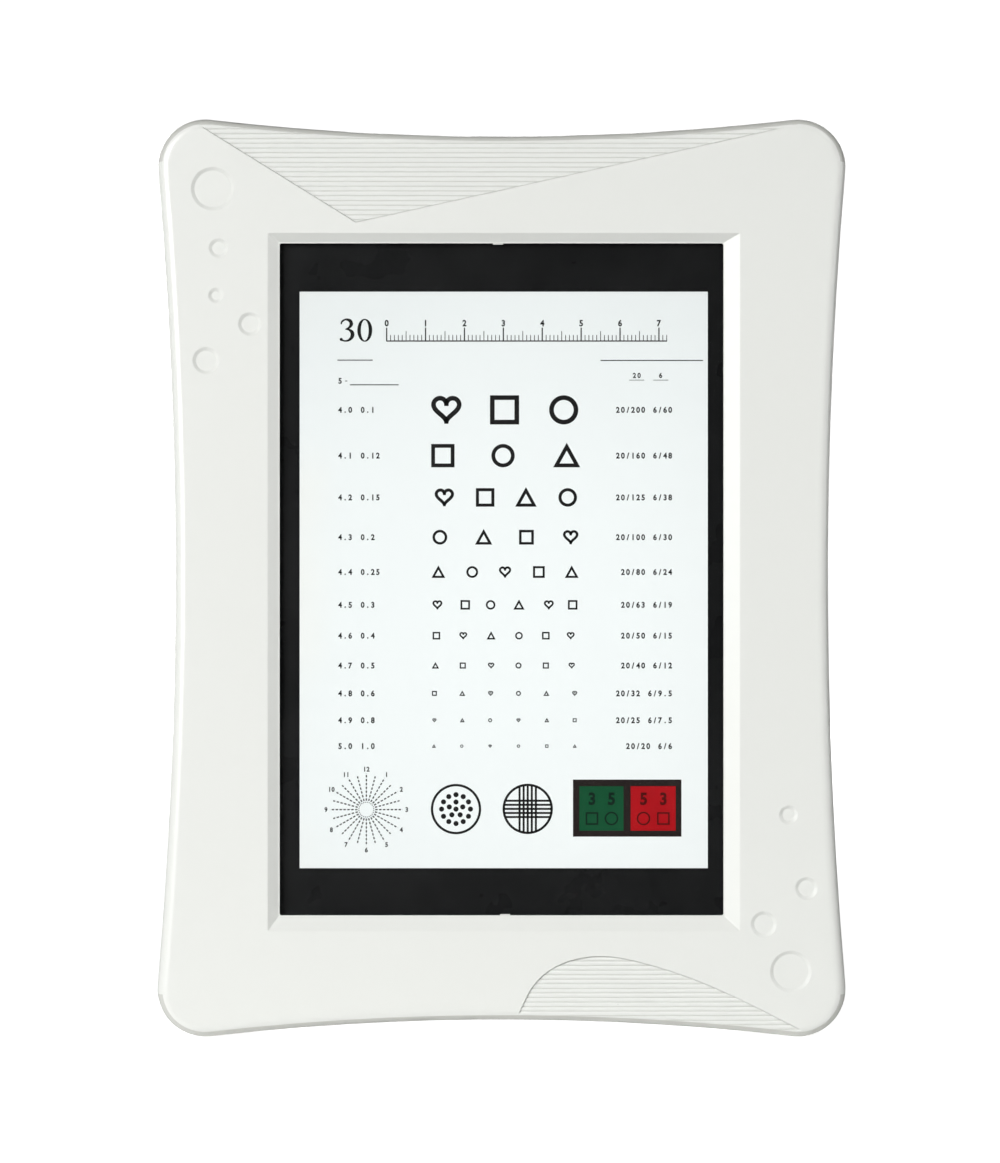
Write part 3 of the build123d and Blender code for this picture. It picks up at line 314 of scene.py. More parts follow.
# ------------------------------------------------------------------ other finishes
def clear_lens():
    """Clear acrylic: weak mirror on its outer faces, a little dust and handling haze."""
    mat = new_material("clear_lens")
    inside = mat.node("ShaderNodeNewGeometry").outputs["Backfacing"]
    mirror = mat.times(mat.shader("Fresnel", IOR=1.49), mat.math("SUBTRACT", 1.0, inside))
    haze = mat.noise(scale=30.0, detail=5.0, rough=0.6, span=(0.45, 0.75), to=(0.0, 0.002))
    dust = mat.specks(scale=150.0, radius=0.035, rarity=0.86, strength=0.30)
    see = mat.shader("BsdfTransparent", Color=(0.985, 0.99, 0.99))
    shine = mat.shader("BsdfGlossy", Color=(1.0, 1.0, 1.0),
                       Roughness=mat.noise(scale=24.0, detail=4.0, to=(0.02, 0.05)))
    matt = mat.shader("BsdfDiffuse", Color=(0.8, 0.8, 0.8))
    clean = mat.mix_shader(mirror, see, shine)
    mat.surface(mat.mix_shader(mat.add(haze, dust), clean, matt))
    return mat


def lit_film():
    """Glowing white film: brightest low and right of centre, falling off to the corners."""
    bright_x, bright_z = 0.009, ZC - 0.018
    chip_pitch = 0.0088  # of the light-emitting chips along the two long sides
    scallop_depth = 0.006
    mat = new_material("lit_film")
    x, _, z = mat.xyz()
    across = mat.math("SUBTRACT", x, bright_x)
    up = mat.math("SUBTRACT", z, bright_z)
    distance_squared = mat.add(mat.times(across, across), mat.times(up, up))
    fall = mat.ramp(distance_squared, span=(0.0, 0.0135), to=(1.0, 0.79))
    edge = mat.ramp(mat.math("ABSOLUTE", x), span=(0.040, 0.056), to=(0.0, 1.0), smooth=True)
    ripple = mat.math("SINE", mat.times(z, 2 * math.pi / chip_pitch))
    scallop = mat.times(edge, ripple, scallop_depth)
    cloud = mat.noise(scale=22.0, detail=3.0, to=(-0.006, 0.006))
    fibre = mat.noise(scale=2200.0, rough=0.6, to=(0.992, 1.0))
    level = mat.times(mat.add(fall, scallop, cloud), fibre)
    # warm patches along the left side
    warm = mat.times(
        mat.ramp(x, span=(-0.052, -0.040), to=(1.0, 0.0), smooth=True),
        mat.noise(scale=30.0, detail=1.0, span=(0.45, 0.7), to=(0.0, 0.55)))
    glow = mat.mix(warm, (0.945, 0.985, 0.975), (0.985, 0.975, 0.90))
    mat.principled(Base_Color=(0.30, 0.31, 0.31), Roughness=0.45, IOR=1.5,
                   Emission_Color=mat.dim(glow, level), Emission_Strength=0.71)
    return mat


def ink(name, color, rough=0.4, glow=0.0, speckle=0.0):
    """Uneven print ink; glow lets the film's light through, speckle adds grey pinpoints."""
    mat = new_material(name)
    base = mat.dim(color, mat.noise(scale=160.0, detail=4.0, rough=0.6, to=(0.90, 1.08)))
    if speckle:
        points = mat.specks(scale=170.0, radius=0.045, rarity=0.80, strength=speckle)
        base = mat.mix(points, base, (0.42, 0.42, 0.42))
    inputs = dict(
        Base_Color=base,
        Roughness=mat.noise(scale=80.0, detail=3.0, to=(rough - 0.05, rough + 0.05)),
        IOR=1.5, Specular_IOR_Level=0.12)
    if glow:
        lit = mat.noise(scale=300.0, detail=3.0, rough=0.6, to=(0.93, 1.04))
        inputs.update(Emission_Color=mat.dim(color, lit), Emission_Strength=glow)
    mat.principled(**inputs)
    return mat


def rubber():
    mat = new_material("foot_rubber")
    base = mat.mix(mat.noise(scale=90.0, detail=4.0, rough=0.6),
                   (0.018, 0.018, 0.018), (0.034, 0.033, 0.031))
    dust = mat.noise(scale=260.0, detail=5.0, rough=0.7, span=(0.55, 0.8), to=(0.0, 0.25))
    base = mat.mix(dust, base, (0.16, 0.15, 0.14))
    grain = mat.bump(mat.noise(scale=1800.0), distance=0.00004, strength=0.5,
                     normal=mat.bevel(radius=0.0002))
    mat.principled(Base_Color=base,
                   Roughness=mat.noise(scale=60.0, detail=3.0, to=(0.62, 0.8)), Normal=grain)
    return mat


def metal(name, color, rough, brushed=None):
    """Lightly stained metal; brushed is the stretch of its grain along each axis."""
    mat = new_material(name)
    if brushed:
        inputs = {"Vector": mat.position, "Scale": brushed}
        stretched = mat.node("ShaderNodeMapping", inputs).outputs[0]
        grain = mat.noise(scale=900.0, detail=3.0, rough=0.6, vector=stretched)
    else:
        grain = mat.noise(scale=2600.0, detail=3.0, rough=0.6)
    stain = mat.noise(scale=220.0, detail=4.0, rough=0.6, span=(0.5, 0.8), to=(0.0, 0.15))
    mat.principled(
        Base_Color=mat.mix(stain, color, tuple(part * 0.55 for part in color)),
        Metallic=1.0,
        Roughness=mat.ramp(grain, span=(0.3, 0.7), to=(rough - 0.06, rough + 0.08)),
        Normal=mat.bump(grain, distance=0.00001, strength=0.4,
                        normal=mat.bevel(radius=0.00015)))
    return mat


def plastic(name, color, rough, variation=0.06):
    """Plain plastic whose colour drifts by the fraction variation either way, with painted
    shade in its crevices.
    """
    mat = new_material(name)
    base = mat.mix(mat.noise(scale=120.0, detail=4.0, rough=0.6),
                   tuple(part * (1 - variation) for part in color),
                   tuple(min(1.0, part * (1 + variation)) for part in color))
    # painted shade in the crevices
    base = mat.dim_crevices(base, distance=0.001, samples=4, darkest=0.78)
    mat.principled(
        Base_Color=base,
        Roughness=mat.noise(scale=90.0, detail=3.0, to=(rough - 0.06, rough + 0.06)),
        Normal=mat.bump(mat.noise(scale=1500.0), distance=0.00002, strength=0.4,
                        normal=mat.bevel(radius=0.00015)))
    return mat


def circuit_board():
    """Green solder mask over copper runs, with bare tinned pads."""
    run_wander, run_spacing, run_width = 0.006, 0.0016, 0.0005
    pad_radius = 0.16  # relative to the cells of the pad pattern
    mat = new_material("circuit_board")
    x, _, _ = mat.xyz()
    wander = mat.times(mat.noise(scale=60.0, detail=0.0), run_wander)
    stripes = mat.math("PINGPONG", mat.add(x, wander), run_spacing)
    run = mat.math("LESS_THAN", stripes, run_width)
    cut = mat.noise(scale=90.0, detail=0.0, span=(0.45, 0.5), to=(0.0, 1.0))
    base = mat.mix(mat.times(run, cut), (0.012, 0.10, 0.035), (0.03, 0.20, 0.07))
    pads = mat.math("LESS_THAN", mat.voronoi(scale=330.0), pad_radius)
    mat.principled(Base_Color=mat.mix(pads, base, (0.62, 0.60, 0.55)),
                   Roughness=mat.noise(scale=200.0, detail=3.0, to=(0.24, 0.36)),
                   Metallic=mat.times(pads, 0.8),
                   Normal=mat.bump(run, distance=0.00003, strength=0.5))
    return mat


def cell_wrap(height, plus):
    """Dark wrap, coppery towards the positive end (x sign plus), with bare steel caps."""
    cap_from, cap_shift = 0.0216, 0.0006
    mat = new_material("cell_wrap_%d" % round(height * 1e5))
    x, _, _ = mat.xyz()
    band = mat.ramp(mat.times(x, plus), span=(0.0100, 0.0102), to=(0.0, 1.0))
    from_middle = mat.math("ABSOLUTE", mat.add(x, cap_shift * plus))
    cap = mat.math("GREATER_THAN", from_middle, cap_from)
    base = mat.mix(band, (0.018, 0.022, 0.028), (0.62, 0.30, 0.13))
    scuff = mat.noise(scale=140.0, detail=4.0, rough=0.6, span=(0.5, 0.8), to=(0.0, 0.15))
    base = mat.mix(scuff, base, (0.10, 0.10, 0.10))
    mat.principled(Base_Color=mat.mix(cap, base, (0.72, 0.71, 0.68)),
                   Metallic=mat.math("MAXIMUM", mat.times(band, 0.85), cap),
                   Roughness=mat.noise(scale=90.0, detail=3.0, to=(0.22, 0.34)),
                   Normal=mat.bevel(radius=0.0002))
    return mat


paint(gloss_abs(), "front_bezel")
paint(textured_abs("textured_abs", tint=(0.80, 0.81, 0.775), grain_scale=1500.0), "rear_cover")
paint(textured_abs("textured_abs_parts", tint=(0.79, 0.80, 0.765), grain_scale=1700.0),
      "stand_leg", "battery_door")
paint(clear_lens(), "front_lens")
paint(lit_film(), "chart_film")
paint(rubber(), "rubber_feet", "stand_foot")
paint(metal("steel_screw", (0.60, 0.60, 0.61), rough=0.30),
      "case_screws", "tray_screws", "board_screws")
paint(metal("pin_steel", (0.66, 0.66, 0.68), rough=0.24, brushed=(1, 40, 40)), "hinge_pin")
paint(metal("nickel", (0.74, 0.72, 0.66), rough=0.2), "contact_plates", "contact_springs")
paint(metal("capacitor_can", (0.70, 0.71, 0.72), rough=0.28), "filter_capacitor")
paint(plastic("adhesive", (0.70, 0.70, 0.66), rough=0.7), "lens_tape")
paint(plastic("diffuser", (0.90, 0.91, 0.90), rough=0.6, variation=0.01), "diffuser_sheet")
paint(plastic("guide_acrylic", (0.86, 0.92, 0.90), rough=0.12, variation=0.01), "light_guide")
paint(plastic("reflector", (0.92, 0.92, 0.92), rough=0.3, variation=0.01), "reflector_sheet")
paint(plastic("tray_plastic", (0.78, 0.79, 0.78), rough=0.45, variation=0.03),
      "backlight_tray")
paint(circuit_board(), "led_board_left", "led_board_right", "main_board")
paint(plastic("led_package", (0.90, 0.84, 0.52), rough=0.35), "leds_left", "leds_right")
paint(plastic("black_component", (0.022, 0.022, 0.023), rough=0.42, variation=0.15),
      "driver_ic", "boost_inductor", "board_resistors", "dc_jack", "slide_switch")
paint(plastic("header_nylon", (0.82, 0.79, 0.68), rough=0.4), "wire_headers")
paint(plastic("knob_black", (0.028, 0.028, 0.029), rough=0.5, variation=0.15), "switch_knob")
paint(plastic("lead_red", (0.52, 0.02, 0.016), rough=0.36),
      "battery_lead_positive", "led_lead_right")
paint(plastic("lead_black", (0.02, 0.02, 0.021), rough=0.36),
      "battery_lead_negative", "led_lead_left")
for k in range(4):
    cell = "battery_cell_%d" % (k + 1)
    cell_lo, cell_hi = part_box(cell)
    paint(cell_wrap(height=(cell_lo.z + cell_hi.z) / 2, plus=1 if k % 2 else -1), cell)


# ------------------------------------------------------------------ print tools
# Artwork is in millimetres from the case centre: x to the right and z up.
ALIGN = {"left": 0.0, "centre": 0.5, "right": 1.0}
RIBBON_STEPS = 10  # per span between two stations


def polar(x, z, radius, degrees):
    angle = math.radians(degrees)
    return x + radius * math.cos(angle), z + radius * math.sin(angle)


def ellipse(x, z, half_width, half_height, count):
    turns = [2 * math.pi * k / count for k in range(count)]
    return [(x + half_width * math.cos(t), z + half_height * math.sin(t)) for t in turns]


def spline(before, start, end, after, t):
    """Catmull-Rom value at t from start to end."""
    return 0.5 * (2 * start + (end - before) * t
                  + (2 * before - 5 * start + 4 * end - after) * t * t
                  + (3 * start - before - 3 * end + after) * t**3)


@lru_cache(maxsize=None)
def raw_glyph(character):
    """Points and triangles of one character of the built-in face, slightly thickened."""
    curve = bpy.data.curves.new("glyph", "FONT")
    curve.body = character
    curve.resolution_u = 4
    curve.offset = 0.038
    obj = add_object("glyph", curve)
    evaluated = obj.evaluated_get(bpy.context.evaluated_depsgraph_get())
    mesh = evaluated.to_mesh()
    mesh.calc_loop_triangles()
    points = [(v.co.x, v.co.y) for v in mesh.vertices]
    faces = [tuple(t.vertices) for t in mesh.loop_triangles]
    evaluated.to_mesh_clear()
    bpy.data.objects.remove(obj)
    bpy.data.curves.remove(curve)
    return points, faces


@lru_cache(maxsize=None)
def glyph(character):
    """The character scaled to a zero of height 1, centred across and on the zero's middle."""
    zero_zs = [z for _, z in raw_glyph("0")[0]]
    low, high = min(zero_zs), max(zero_zs)
    points, faces = raw_glyph(character)
    xs = [x for x, _ in points]
    middle = (min(xs) + max(xs)) / 2
    scale = 1 / (high - low)
    narrow = 0.92
    return [((x - middle) * scale * narrow, (z - (low + high) / 2) * scale)
            for x, z in points], faces


class Print:
    """Flat artwork in one ink on the plane y."""

    def __init__(self, y=PRINT_Y):
        self.y = y
        self.vertices, self.faces = [], []

    def add(self, points, faces):
        base = len(self.vertices)
        self.vertices += [(x * MM, self.y, ZC + z * MM) for x, z in points]
        self.faces += [tuple(base + i for i in face) for face in faces]

    def poly(self, points):
        self.add(points, [range(len(points))])

    def rect(self, x0, z0, x1, z1):
        self.poly([(x0, z0), (x1, z0), (x1, z1), (x0, z1)])

    def pierced_rect(self, outer, openings, z_low, z_high):
        """Rectangle outer, less openings (each x0, x1) from z_low to z_high."""
        x0, z0, x1, z1 = outer
        edges = [x0, *(x for opening in openings for x in opening), x1]
        for left, right in zip(edges[::2], edges[1::2]):
            self.rect(left, z0, right, z1)
        for left, right in openings:
            self.rect(left, z0, right, z_low)
            self.rect(left, z_high, right, z1)

    def strip(self, left, right, closed=False):
        """A band of quads between two equally long edge lines."""
        count = len(left)
        points = [point for pair in zip(left, right) for point in pair]
        pairs = [(i, (i + 1) % count) for i in range(count if closed else count - 1)]
        self.add(points, [(2 * i, 2 * i + 1, 2 * j + 1, 2 * j) for i, j in pairs])

    def line(self, start, end, width):
        (x0, z0), (x1, z1) = start, end
        length = math.hypot(x1 - x0, z1 - z0)
        side_x = -(z1 - z0) / length * width / 2
        side_z = (x1 - x0) / length * width / 2
        self.poly([(x0 - side_x, z0 - side_z), (x1 - side_x, z1 - side_z),
                   (x1 + side_x, z1 + side_z), (x0 + side_x, z0 + side_z)])

    def loop(self, points, width):
        """A closed outline with mitred corners, centred on points."""
        area = sum(ax * bz - bx * az
                   for (ax, az), (bx, bz) in zip(points, points[1:] + points[:1]))
        if area < 0:
            points = points[::-1]
        inner, outer = [], []
        for (ax, az), (bx, bz), (cx, cz) in zip(
                points[-1:] + points[:-1], points, points[1:] + points[:1]):
            arrive = Vector((bx - ax, bz - az)).normalized()
            leave = Vector((cx - bx, cz - bz)).normalized()
            mitre = Vector((arrive.y, -arrive.x)) + Vector((leave.y, -leave.x))
            mitre = mitre / max(0.35, mitre.length_squared / 2)  # limits sharp corners
            outer.append((bx + mitre.x * width / 2, bz + mitre.y * width / 2))
            inner.append((bx - mitre.x * width / 2, bz - mitre.y * width / 2))
        self.strip(inner, outer, closed=True)

    def square(self, x, z, half, width):
        self.loop([(x - half, z - half), (x + half, z - half),
                   (x + half, z + half), (x - half, z + half)], width)

    def ring(self, x, z, radius, width, count):
        inner, outer = radius - width / 2, radius + width / 2
        self.strip(ellipse(x, z, inner, inner, count), ellipse(x, z, outer, outer, count),
                   closed=True)

    def disc(self, x, z, radius, count=28):
        self.poly(ellipse(x, z, radius, radius, count))

    def ribbon(self, x, z, stations):
        """A smooth stroke through stations (x, z, width) set out from the point x, z."""
        stations = [(x + sx, z + sz, width) for sx, sz, width in stations]
        padded = [stations[0], *stations, stations[-1]]
        path = []
        for span in zip(padded, padded[1:], padded[2:], padded[3:]):
            xs, zs, widths = zip(*span)
            for step in range(RIBBON_STEPS):
                t = step / RIBBON_STEPS
                width = widths[1] * (1 - t) + widths[2] * t
                path.append((spline(*xs, t), spline(*zs, t), width))
        path.append(stations[-1])
        left, right = [], []
        for i, (px, pz, width) in enumerate(path):
            back, ahead = path[max(0, i - 1)], path[min(len(path) - 1, i + 1)]
            along = Vector((ahead[0] - back[0], ahead[1] - back[1])).normalized()
            left.append((px - along.y * width / 2, pz + along.x * width / 2))
            right.append((px + along.y * width / 2, pz - along.x * width / 2))
        self.strip(left, right)

    def text(self, characters, x, z, height, advance, align="left"):
        """Characters centred on z, their middles one advance apart."""
        x -= advance * (len(characters) - 1) * ALIGN[align]
        for character in characters:
            points, faces = glyph(character)
            self.add([(x + gx * height, z + gz * height) for gx, gz in points], faces)
            x += advance

    def make(self, name, mat):
        mesh = bpy.data.meshes.new(name)
        mesh.from_pydata(self.vertices, [], self.faces)
        mesh.update()
        # every face looks out of the window
        flip = [face.index for face in mesh.polygons if face.normal.y > 0]
        if flip:
            editable = bmesh.new()
            editable.from_mesh(mesh)
            editable.faces.ensure_lookup_table()
            for i in flip:
                editable.faces[i].normal_flip()
            editable.to_mesh(mesh)
            editable.free()
        obj = add_object(name, mesh)
        mesh.materials.append(mat.owner)
        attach(obj, frame["record"]["behaviour"]["joints"][0]["parent"])


# ------------------------------------------------------------------ black chart print
# Row centre z, symbol size, symbols (h heart, s square, o ring, t triangle), their centre
# xs, then the four labels from left to right
ROWS = [
    (43.223, 7.45, "hso", (-14.194, 0.767, 15.985), "4.0", "0.1", "20/200", "6/60"),
    (31.458, 5.95, "sot", (-15.090, 0.384, 16.752), "4.1", "0.12", "20/160", "6/48"),
    (20.716, 4.72, "hsto", (-14.706, -4.220, 6.266, 17.008),
     "4.2", "0.15", "20/125", "6/38"),
    (10.486, 3.75, "otsh", (-15.857, -4.604, 6.394, 17.775),
     "4.3", "0.2", "20/100", "6/30"),
    (1.535, 2.98, "tohst", (-16.240, -7.545, 0.895, 9.591, 18.031),
     "4.4", "0.25", "20/80", "6/24"),
    (-6.905, 2.40, "hsoths", (-16.496, -9.335, -2.813, 4.476, 12.148, 18.286),
     "4.5", "0.3", "20/63", "6/19"),
    (-14.834, 1.90, "shtosh", (-16.752, -9.847, -2.685, 4.476, 11.381, 17.775),
     "4.6", "0.4", "20/50", "6/15"),
    (-22.506, 1.52, "tshosh", (-17.008, -9.974, -2.685, 4.348, 11.381, 18.031),
     "4.7", "0.5", "20/40", "6/12"),
    (-29.668, 1.22, "sthoth", (-17.263, -10.102, -2.813, 4.348, 11.509, 18.798),
     "4.8", "0.6", "20/32", "6/9.5"),
    (-36.573, 0.98, "htohts", (-17.263, -10.102, -2.941, 4.348, 11.637, 18.798),
     "4.9", "0.8", "20/25", "6/7.5"),
    (-43.223, 0.80, "tohost", (-17.391, -10.230, -2.941, 4.348, 11.637, 18.798),
     "5.0", "1.0", "20/20", "6/6"),
]
DIGIT = 1.56  # label height
ADVANCE = 1.302  # label character pitch
LABEL_X = (-41.509, -35.703)  # first characters of the two left columns
LABEL_RIGHT = 43.350  # last character of the rightmost column
LABEL_GAP = 3.04  # between neighbouring characters of the two right columns


def symbol(art, kind, x, z, size):
    stroke = size / 6.8 + 0.11
    half = (size + 0.05 - stroke) / 2
    count = 72 if size > 3 else 40
    if kind == "s":
        art.square(x, z, half, stroke)
    elif kind == "o":
        art.ring(x, z, half, stroke, count)
    elif kind == "t":
        # a little wider than tall
        art.loop([(x - half * 1.06, z - half), (x + half * 1.06, z - half),
                  (x, z + half * 0.92)], stroke)
    else:
        # the textbook heart curve, scaled and raised to fit the symbol
        points = []
        for k in range(count):
            t = 2 * math.pi * (k + 0.5) / count
            across = 16 * math.sin(t) ** 3
            up = 13 * math.cos(t) - 5 * math.cos(2 * t) - 2 * math.cos(3 * t) - math.cos(4 * t)
            points.append((x + across / 16 * half * 1.05, z + (up + 2.6) / 15.2 * half))
        art.loop(points, stroke)


def draw_rows(art):
    for z, size, kinds, xs, far_left, left, right, far_right in ROWS:
        for kind, x in zip(kinds, xs):
            symbol(art, kind, x, z, size)
        art.text(far_left, LABEL_X[0], z, DIGIT, ADVANCE)
        art.text(left, LABEL_X[1], z, DIGIT, ADVANCE)
        art.text(far_right, LABEL_RIGHT, z, DIGIT, ADVANCE, "right")
        right_x = LABEL_RIGHT - ADVANCE * (len(far_right) - 1) - LABEL_GAP
        art.text(right, right_x, z, DIGIT, ADVANCE, "right")


def draw_column_heads(art):
    """Numbers and rules above the label columns; rules are x0, z0, x1, z1."""
    art.text("5", LABEL_X[0], 50.691, DIGIT, ADVANCE)
    for rule in ((-40.230, 50.537, -39.668, 50.742), (-39.003, 49.540, -26.471, 49.795),
                 (-42.199, 55.882, -33.120, 56.138), (25.448, 55.806, 51.790, 56.061)):
        art.rect(*rule)
    for number, x in (("20", 34.757), ("6", 40.895)):
        art.text(number, x, 52.072, DIGIT * 0.88, ADVANCE * 0.92, "centre")
    for x0, x1 in ((32.839, 36.675), (38.977, 42.864)):
        art.rect(x0, 50.793, x1, 50.946)


HEADING_Z = 63.683  # middle of the large numerals
THREE_X = -39.719
ZERO_X = -35.166
# Strokes of the large 3: x and z from its middle, stroke width
THREE_UPPER = [
    (-1.52, 1.55, 0.30), (-1.28, 2.25, 0.46), (-0.35, 2.78, 0.46), (0.75, 2.45, 0.86),
    (1.08, 1.55, 0.92), (0.55, 0.72, 0.58), (-0.45, 0.22, 0.24),
]
THREE_LOWER = [
    (-0.45, 0.30, 0.24), (0.55, 0.12, 0.56), (1.30, -0.55, 0.96), (1.32, -1.55, 0.98),
    (0.55, -2.48, 0.60), (-0.55, -2.74, 0.38), (-1.45, -2.42, 0.50),
]
RULER_X = -29.540
RULER_Z = HEADING_Z - 2.92
RULER_LENGTH = 72


def draw_heading(art):
    """The reading distance as a large 30, then a millimetre ruler."""
    art.ribbon(THREE_X, HEADING_Z, THREE_UPPER)
    art.ribbon(THREE_X, HEADING_Z, THREE_LOWER)
    art.disc(THREE_X - 1.50, HEADING_Z - 2.34, radius=0.40)
    art.strip(ellipse(ZERO_X, HEADING_Z, half_width=1.00, half_height=2.62, count=72),
              ellipse(ZERO_X, HEADING_Z, half_width=1.92, half_height=2.95, count=72),
              closed=True)
    overhang, thick, thin = 0.09, 0.32, 0.19
    art.rect(RULER_X - overhang, RULER_Z, RULER_X + RULER_LENGTH + overhang, RULER_Z + thick)
    for k in range(RULER_LENGTH + 1):
        tall = 3.6 if k % 10 == 0 else (2.7 if k % 5 == 0 else 1.7)
        wide = thick if k % 10 == 0 else thin
        x = RULER_X + k
        art.rect(x - wide / 2, RULER_Z + 0.2, x + wide / 2, RULER_Z + tall)
        if k % 10 == 0:
            art.text(str(k // 10), x, RULER_Z + 4.75, 1.7, ADVANCE, "centre")


def draw_clock(art):
    """Clock dial of dashed spokes, with dots between their inner ends and twelve numbers."""
    x, z = -34.757, -59.540
    spoke_start, long_end, short_end = 2.276, 9.309, 8.849
    dash, dash_pitch = 0.62, 1.0
    for k in range(24):
        angle = 90 - 15 * k
        radius = spoke_start
        end = long_end if k % 2 == 0 else short_end
        while radius < end:
            dash_end = min(radius + dash, end)
            art.line(polar(x, z, radius, angle), polar(x, z, dash_end, angle), width=0.33)
            radius += dash_pitch
    for k in range(24):
        art.disc(*polar(x, z, 1.918, 15 * k + 7.5), radius=0.14, count=10)
    for k in range(1, 13):
        art.text(str(k), *polar(x, z, 10.384, 90 - 30 * k), height=1.28, advance=0.86,
                 align="centre")


CIRCLE_RADIUS = 6.164  # of the dotted and the crossed circle
CIRCLE_STROKE = 0.62


def draw_dotted_circle(art):
    x, z = -11.714, -59.412
    art.ring(x, z, CIRCLE_RADIUS, CIRCLE_STROKE, count=96)
    for count, radius in ((12, 3.708), (5, 1.816), (1, 0.0)):
        for k in range(count):
            art.disc(*polar(x, z, radius, 90 - 360 * k / count), radius=0.66, count=24)


def draw_crossed_circle(art):
    x, z = 6.726, -59.361
    pitch, half_line = 1.0486, 0.27
    art.ring(x, z, CIRCLE_RADIUS, CIRCLE_STROKE, count=96)
    offsets = [k * pitch for k in range(-2, 3)]
    chords = [(shift, math.sqrt(CIRCLE_RADIUS**2 - shift**2)) for shift in offsets]
    for shift, half in chords:
        art.rect(x + shift - half_line, z - half, x + shift + half_line, z + half)
    for shift, half in chords:
        art.rect(x - half, z + shift - half_line, x + half, z + shift + half_line)


black = Print()
draw_rows(black)
draw_column_heads(black)
draw_heading(black)
draw_clock(black)
draw_dotted_circle(black)
draw_crossed_circle(black)
black.make("chart_symbols", ink("black_ink", (0.012, 0.0115, 0.0115)))

# ------------------------------------------------------------------ two-colour panel
PANEL = (18.363, -66.496, 46.240, -51.816)  # x0, z0, x1, z1
FIELD_Z = (-64.962, -53.529)
GREEN_X = (20.000, 31.355)
RED_X = (33.197, 44.757)

border = Print()
border.pierced_rect(PANEL, [GREEN_X, RED_X], *FIELD_Z)
border.make("colour_panel_frame", ink("brown_black_ink", (0.019, 0.0125, 0.0112)))
for label, (x0, x1), color in (("green", GREEN_X, (0.0026, 0.053, 0.0195)),
                               ("red", RED_X, (0.280, 0.0016, 0.0046))):
    field = Print()
    field.rect(x0, FIELD_Z[0], x1, FIELD_Z[1])
    field.make("colour_panel_" + label, ink(label + "_ink", color, glow=0.55))


def panel_marks(label, field_x, digits, color):
    """Two digits over two shapes: a square under the 3 and a ring under the 5."""
    marks = Print(y=PRINT_Y - MARKS_LIFT)
    x0, x1 = field_x
    for k, digit in enumerate(digits):
        x = x0 + (x1 - x0) * (0.286 + 0.441 * k)
        marks.text(digit, x, FIELD_Z[1] - 3.22, 3.3, 1.0)
        shape_z = FIELD_Z[0] + 3.13
        if digit == "3":
            marks.square(x, shape_z, half=1.42, width=0.40)
        else:
            marks.ring(x, shape_z, radius=1.55, width=0.40, count=48)
    marks.make("colour_panel_marks_" + label,
               ink("panel_marks_ink_" + label, color, glow=0.3))


panel_marks("green", GREEN_X, "35", (0.0016, 0.013, 0.007))
panel_marks("red", RED_X, "53", (0.060, 0.0012, 0.0012))

# ------------------------------------------------------------------ black surround
FILM_MARGIN = 0.15
half_film = (film_hi.x - film_lo.x) / 2 / MM - FILM_MARGIN
surround = Print()
surround.pierced_rect(
    (-half_film, (film_lo.z - ZC) / MM + FILM_MARGIN,
     half_film, (film_hi.z - ZC) / MM - FILM_MARGIN),
    [(-51.918, 53.018)], z_low=-74.604, z_high=73.606)
surround.make("chart_surround",
              ink("surround_ink", (0.0085, 0.0088, 0.0092), rough=0.3, speckle=0.6))

# ------------------------------------------------------------------ studio
CASE_MIDDLE = (0.0, 0.0, ZC)


def area(name, at, size, power, target=CASE_MIDDLE, size_y=None, spread=180):
    """Area light facing target, or straight up if target is None."""
    light = bpy.data.lights.new(name, "AREA")
    light.spread = math.radians(spread)
    light.energy = power
    light.shape = "RECTANGLE" if size_y else "SQUARE"
    light.size = size
    if size_y:
        light.size_y = size_y
    obj = add_object(name, light)
    obj.location = at
    if target is None:
        obj.rotation_euler = (math.pi, 0.0, 0.0)
    else:
        aim = Vector(target) - Vector(at)
        obj.rotation_euler = aim.to_track_quat("-Z", "Y").to_euler()
    obj.visible_camera = False


area("key_softbox", at=(-1.62, -2.49, 0.62), target=(-0.20, -0.2, -0.46), size=1.5,
     power=19.5, spread=76)
area("right_fill", at=(1.55, -2.60, 0.30), size=1.2, power=5.5)
area("side_fill", at=(1.90, -0.50, 0.35), size=1.0, power=6.0)
area("corner_light", at=(0.62, -0.80, 0.98), size=0.10, power=1.3)
area("back_left", at=(-0.75, 1.60, 0.42), size=0.9, power=16.0)
area("back_right", at=(0.30, 1.75, 0.50), size=0.8, power=9.0)
# the pale table throws light back up under the rolled bottom edge
area("table_bounce", at=(0.0, 0.0060, -0.0001), target=None, size=0.5, size_y=0.036,
     power=0.022)


def studio_world():
    """White to the camera; to everything else a room, dim behind the camera and overhead."""
    sky = Shading(bpy.data.worlds.new("studio"), output="ShaderNodeOutputWorld")
    x, y, z = sky.xyz(sky.node("ShaderNodeTexCoord").outputs["Generated"])
    front = sky.ramp(y, span=(-1.0, 0.2), to=(0.05, 0.30))
    side = sky.ramp(x, span=(-1.0, 1.0), to=(0.05, -0.09))
    high = sky.ramp(z, span=(-0.1, 0.6), to=(1.0, 0.30))
    walls = sky.node("ShaderNodeMath", {0: front, 1: side}, operation="ADD").outputs[0]
    room = sky.node("ShaderNodeMath", {0: walls, 1: high}, operation="MULTIPLY").outputs[0]
    lighting = sky.shader("Background", Color=(1.0, 0.995, 0.985), Strength=room)
    seen = sky.shader("Background", Color=(1.0, 1.0, 1.0), Strength=1.05)
    sky.surface(sky.mix_shader(sky.light_path("Is Camera Ray"), lighting, seen))
    return sky.owner


bpy.context.scene.world = studio_world()


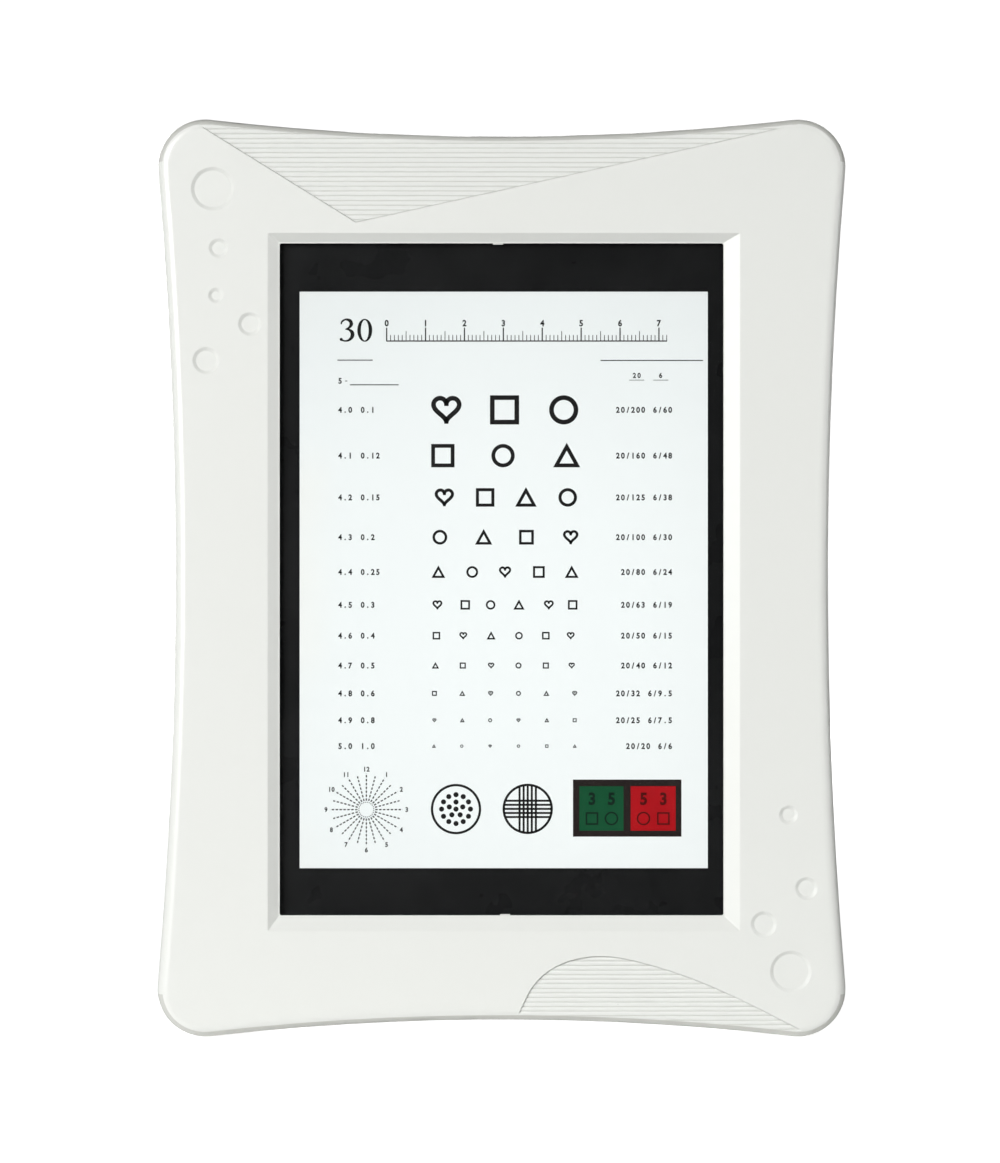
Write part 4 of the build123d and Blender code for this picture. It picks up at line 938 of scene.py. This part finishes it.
def pale_floor():
    """Pale matt floor, darker in reflections, with a glow only the camera sees."""
    mat = new_material("pale_floor")
    pale = mat.mix(mat.noise(scale=3.0, detail=3.0), (0.80, 0.80, 0.80), (0.83, 0.83, 0.83))
    matt = mat.shader("BsdfDiffuse", Color=pale)
    x, y, _ = mat.xyz()
    away = mat.math("SQRT", mat.add(mat.times(x, x), mat.times(y, y)))
    glowing = mat.shader("Emission", Color=(1.0, 1.0, 1.0),
                         Strength=mat.ramp(away, span=(0.4, 1.6), to=(0.70, 1.05)))
    dark = mat.shader("Emission", Color=(1.0, 1.0, 1.0), Strength=0.0)
    only_seen = mat.mix_shader(mat.light_path("Is Camera Ray"), dark, glowing)
    reflected = mat.shader("BsdfDiffuse", Color=(0.16, 0.16, 0.16))
    body = mat.mix_shader(mat.light_path("Is Glossy Ray"), matt, reflected)
    mat.surface(mat.node("ShaderNodeAddShader", {0: body, 1: only_seen}).outputs[0])
    return mat


floor_mesh = bpy.data.meshes.new("floor")
floor_mesh.from_pydata([(-6, -6, 0), (6, -6, 0), (6, 6, 0), (-6, 6, 0)], [], [(0, 1, 2, 3)])
floor = add_object("floor", floor_mesh)
floor.location.z = -0.0002
floor_mesh.materials.append(pale_floor().owner)
floor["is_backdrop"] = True

FOCAL_LENGTH = 100
SENSOR_WIDTH = 36
VIEW_SIZE = 0.2975  # longer side of the view at the front plane of the case

camera = bpy.data.cameras.new("camera")
camera.lens = FOCAL_LENGTH
camera.sensor_width = SENSOR_WIDTH
camera.clip_start = 0.01
camera_object = add_object("camera", camera)
distance = FOCAL_LENGTH / SENSOR_WIDTH * VIEW_SIZE
camera_object.location = (-0.0004, FRONT_Y - distance, ZC - 0.0009)
camera_object.rotation_euler = (math.radians(90), 0, 0)
scene = bpy.context.scene
scene.camera = camera_object
scene.view_settings.view_transform = "Standard"
scene.view_settings.look = "None"


def plain(box):
    """The box as lists of floats, whether it is nested or flat."""
    if hasattr(box[0], "__len__"):
        return [[float(part) for part in corner] for corner in box]
    return [float(part) for part in box]


{"cad": plain(CAD_BOX), "visual": plain(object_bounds())}
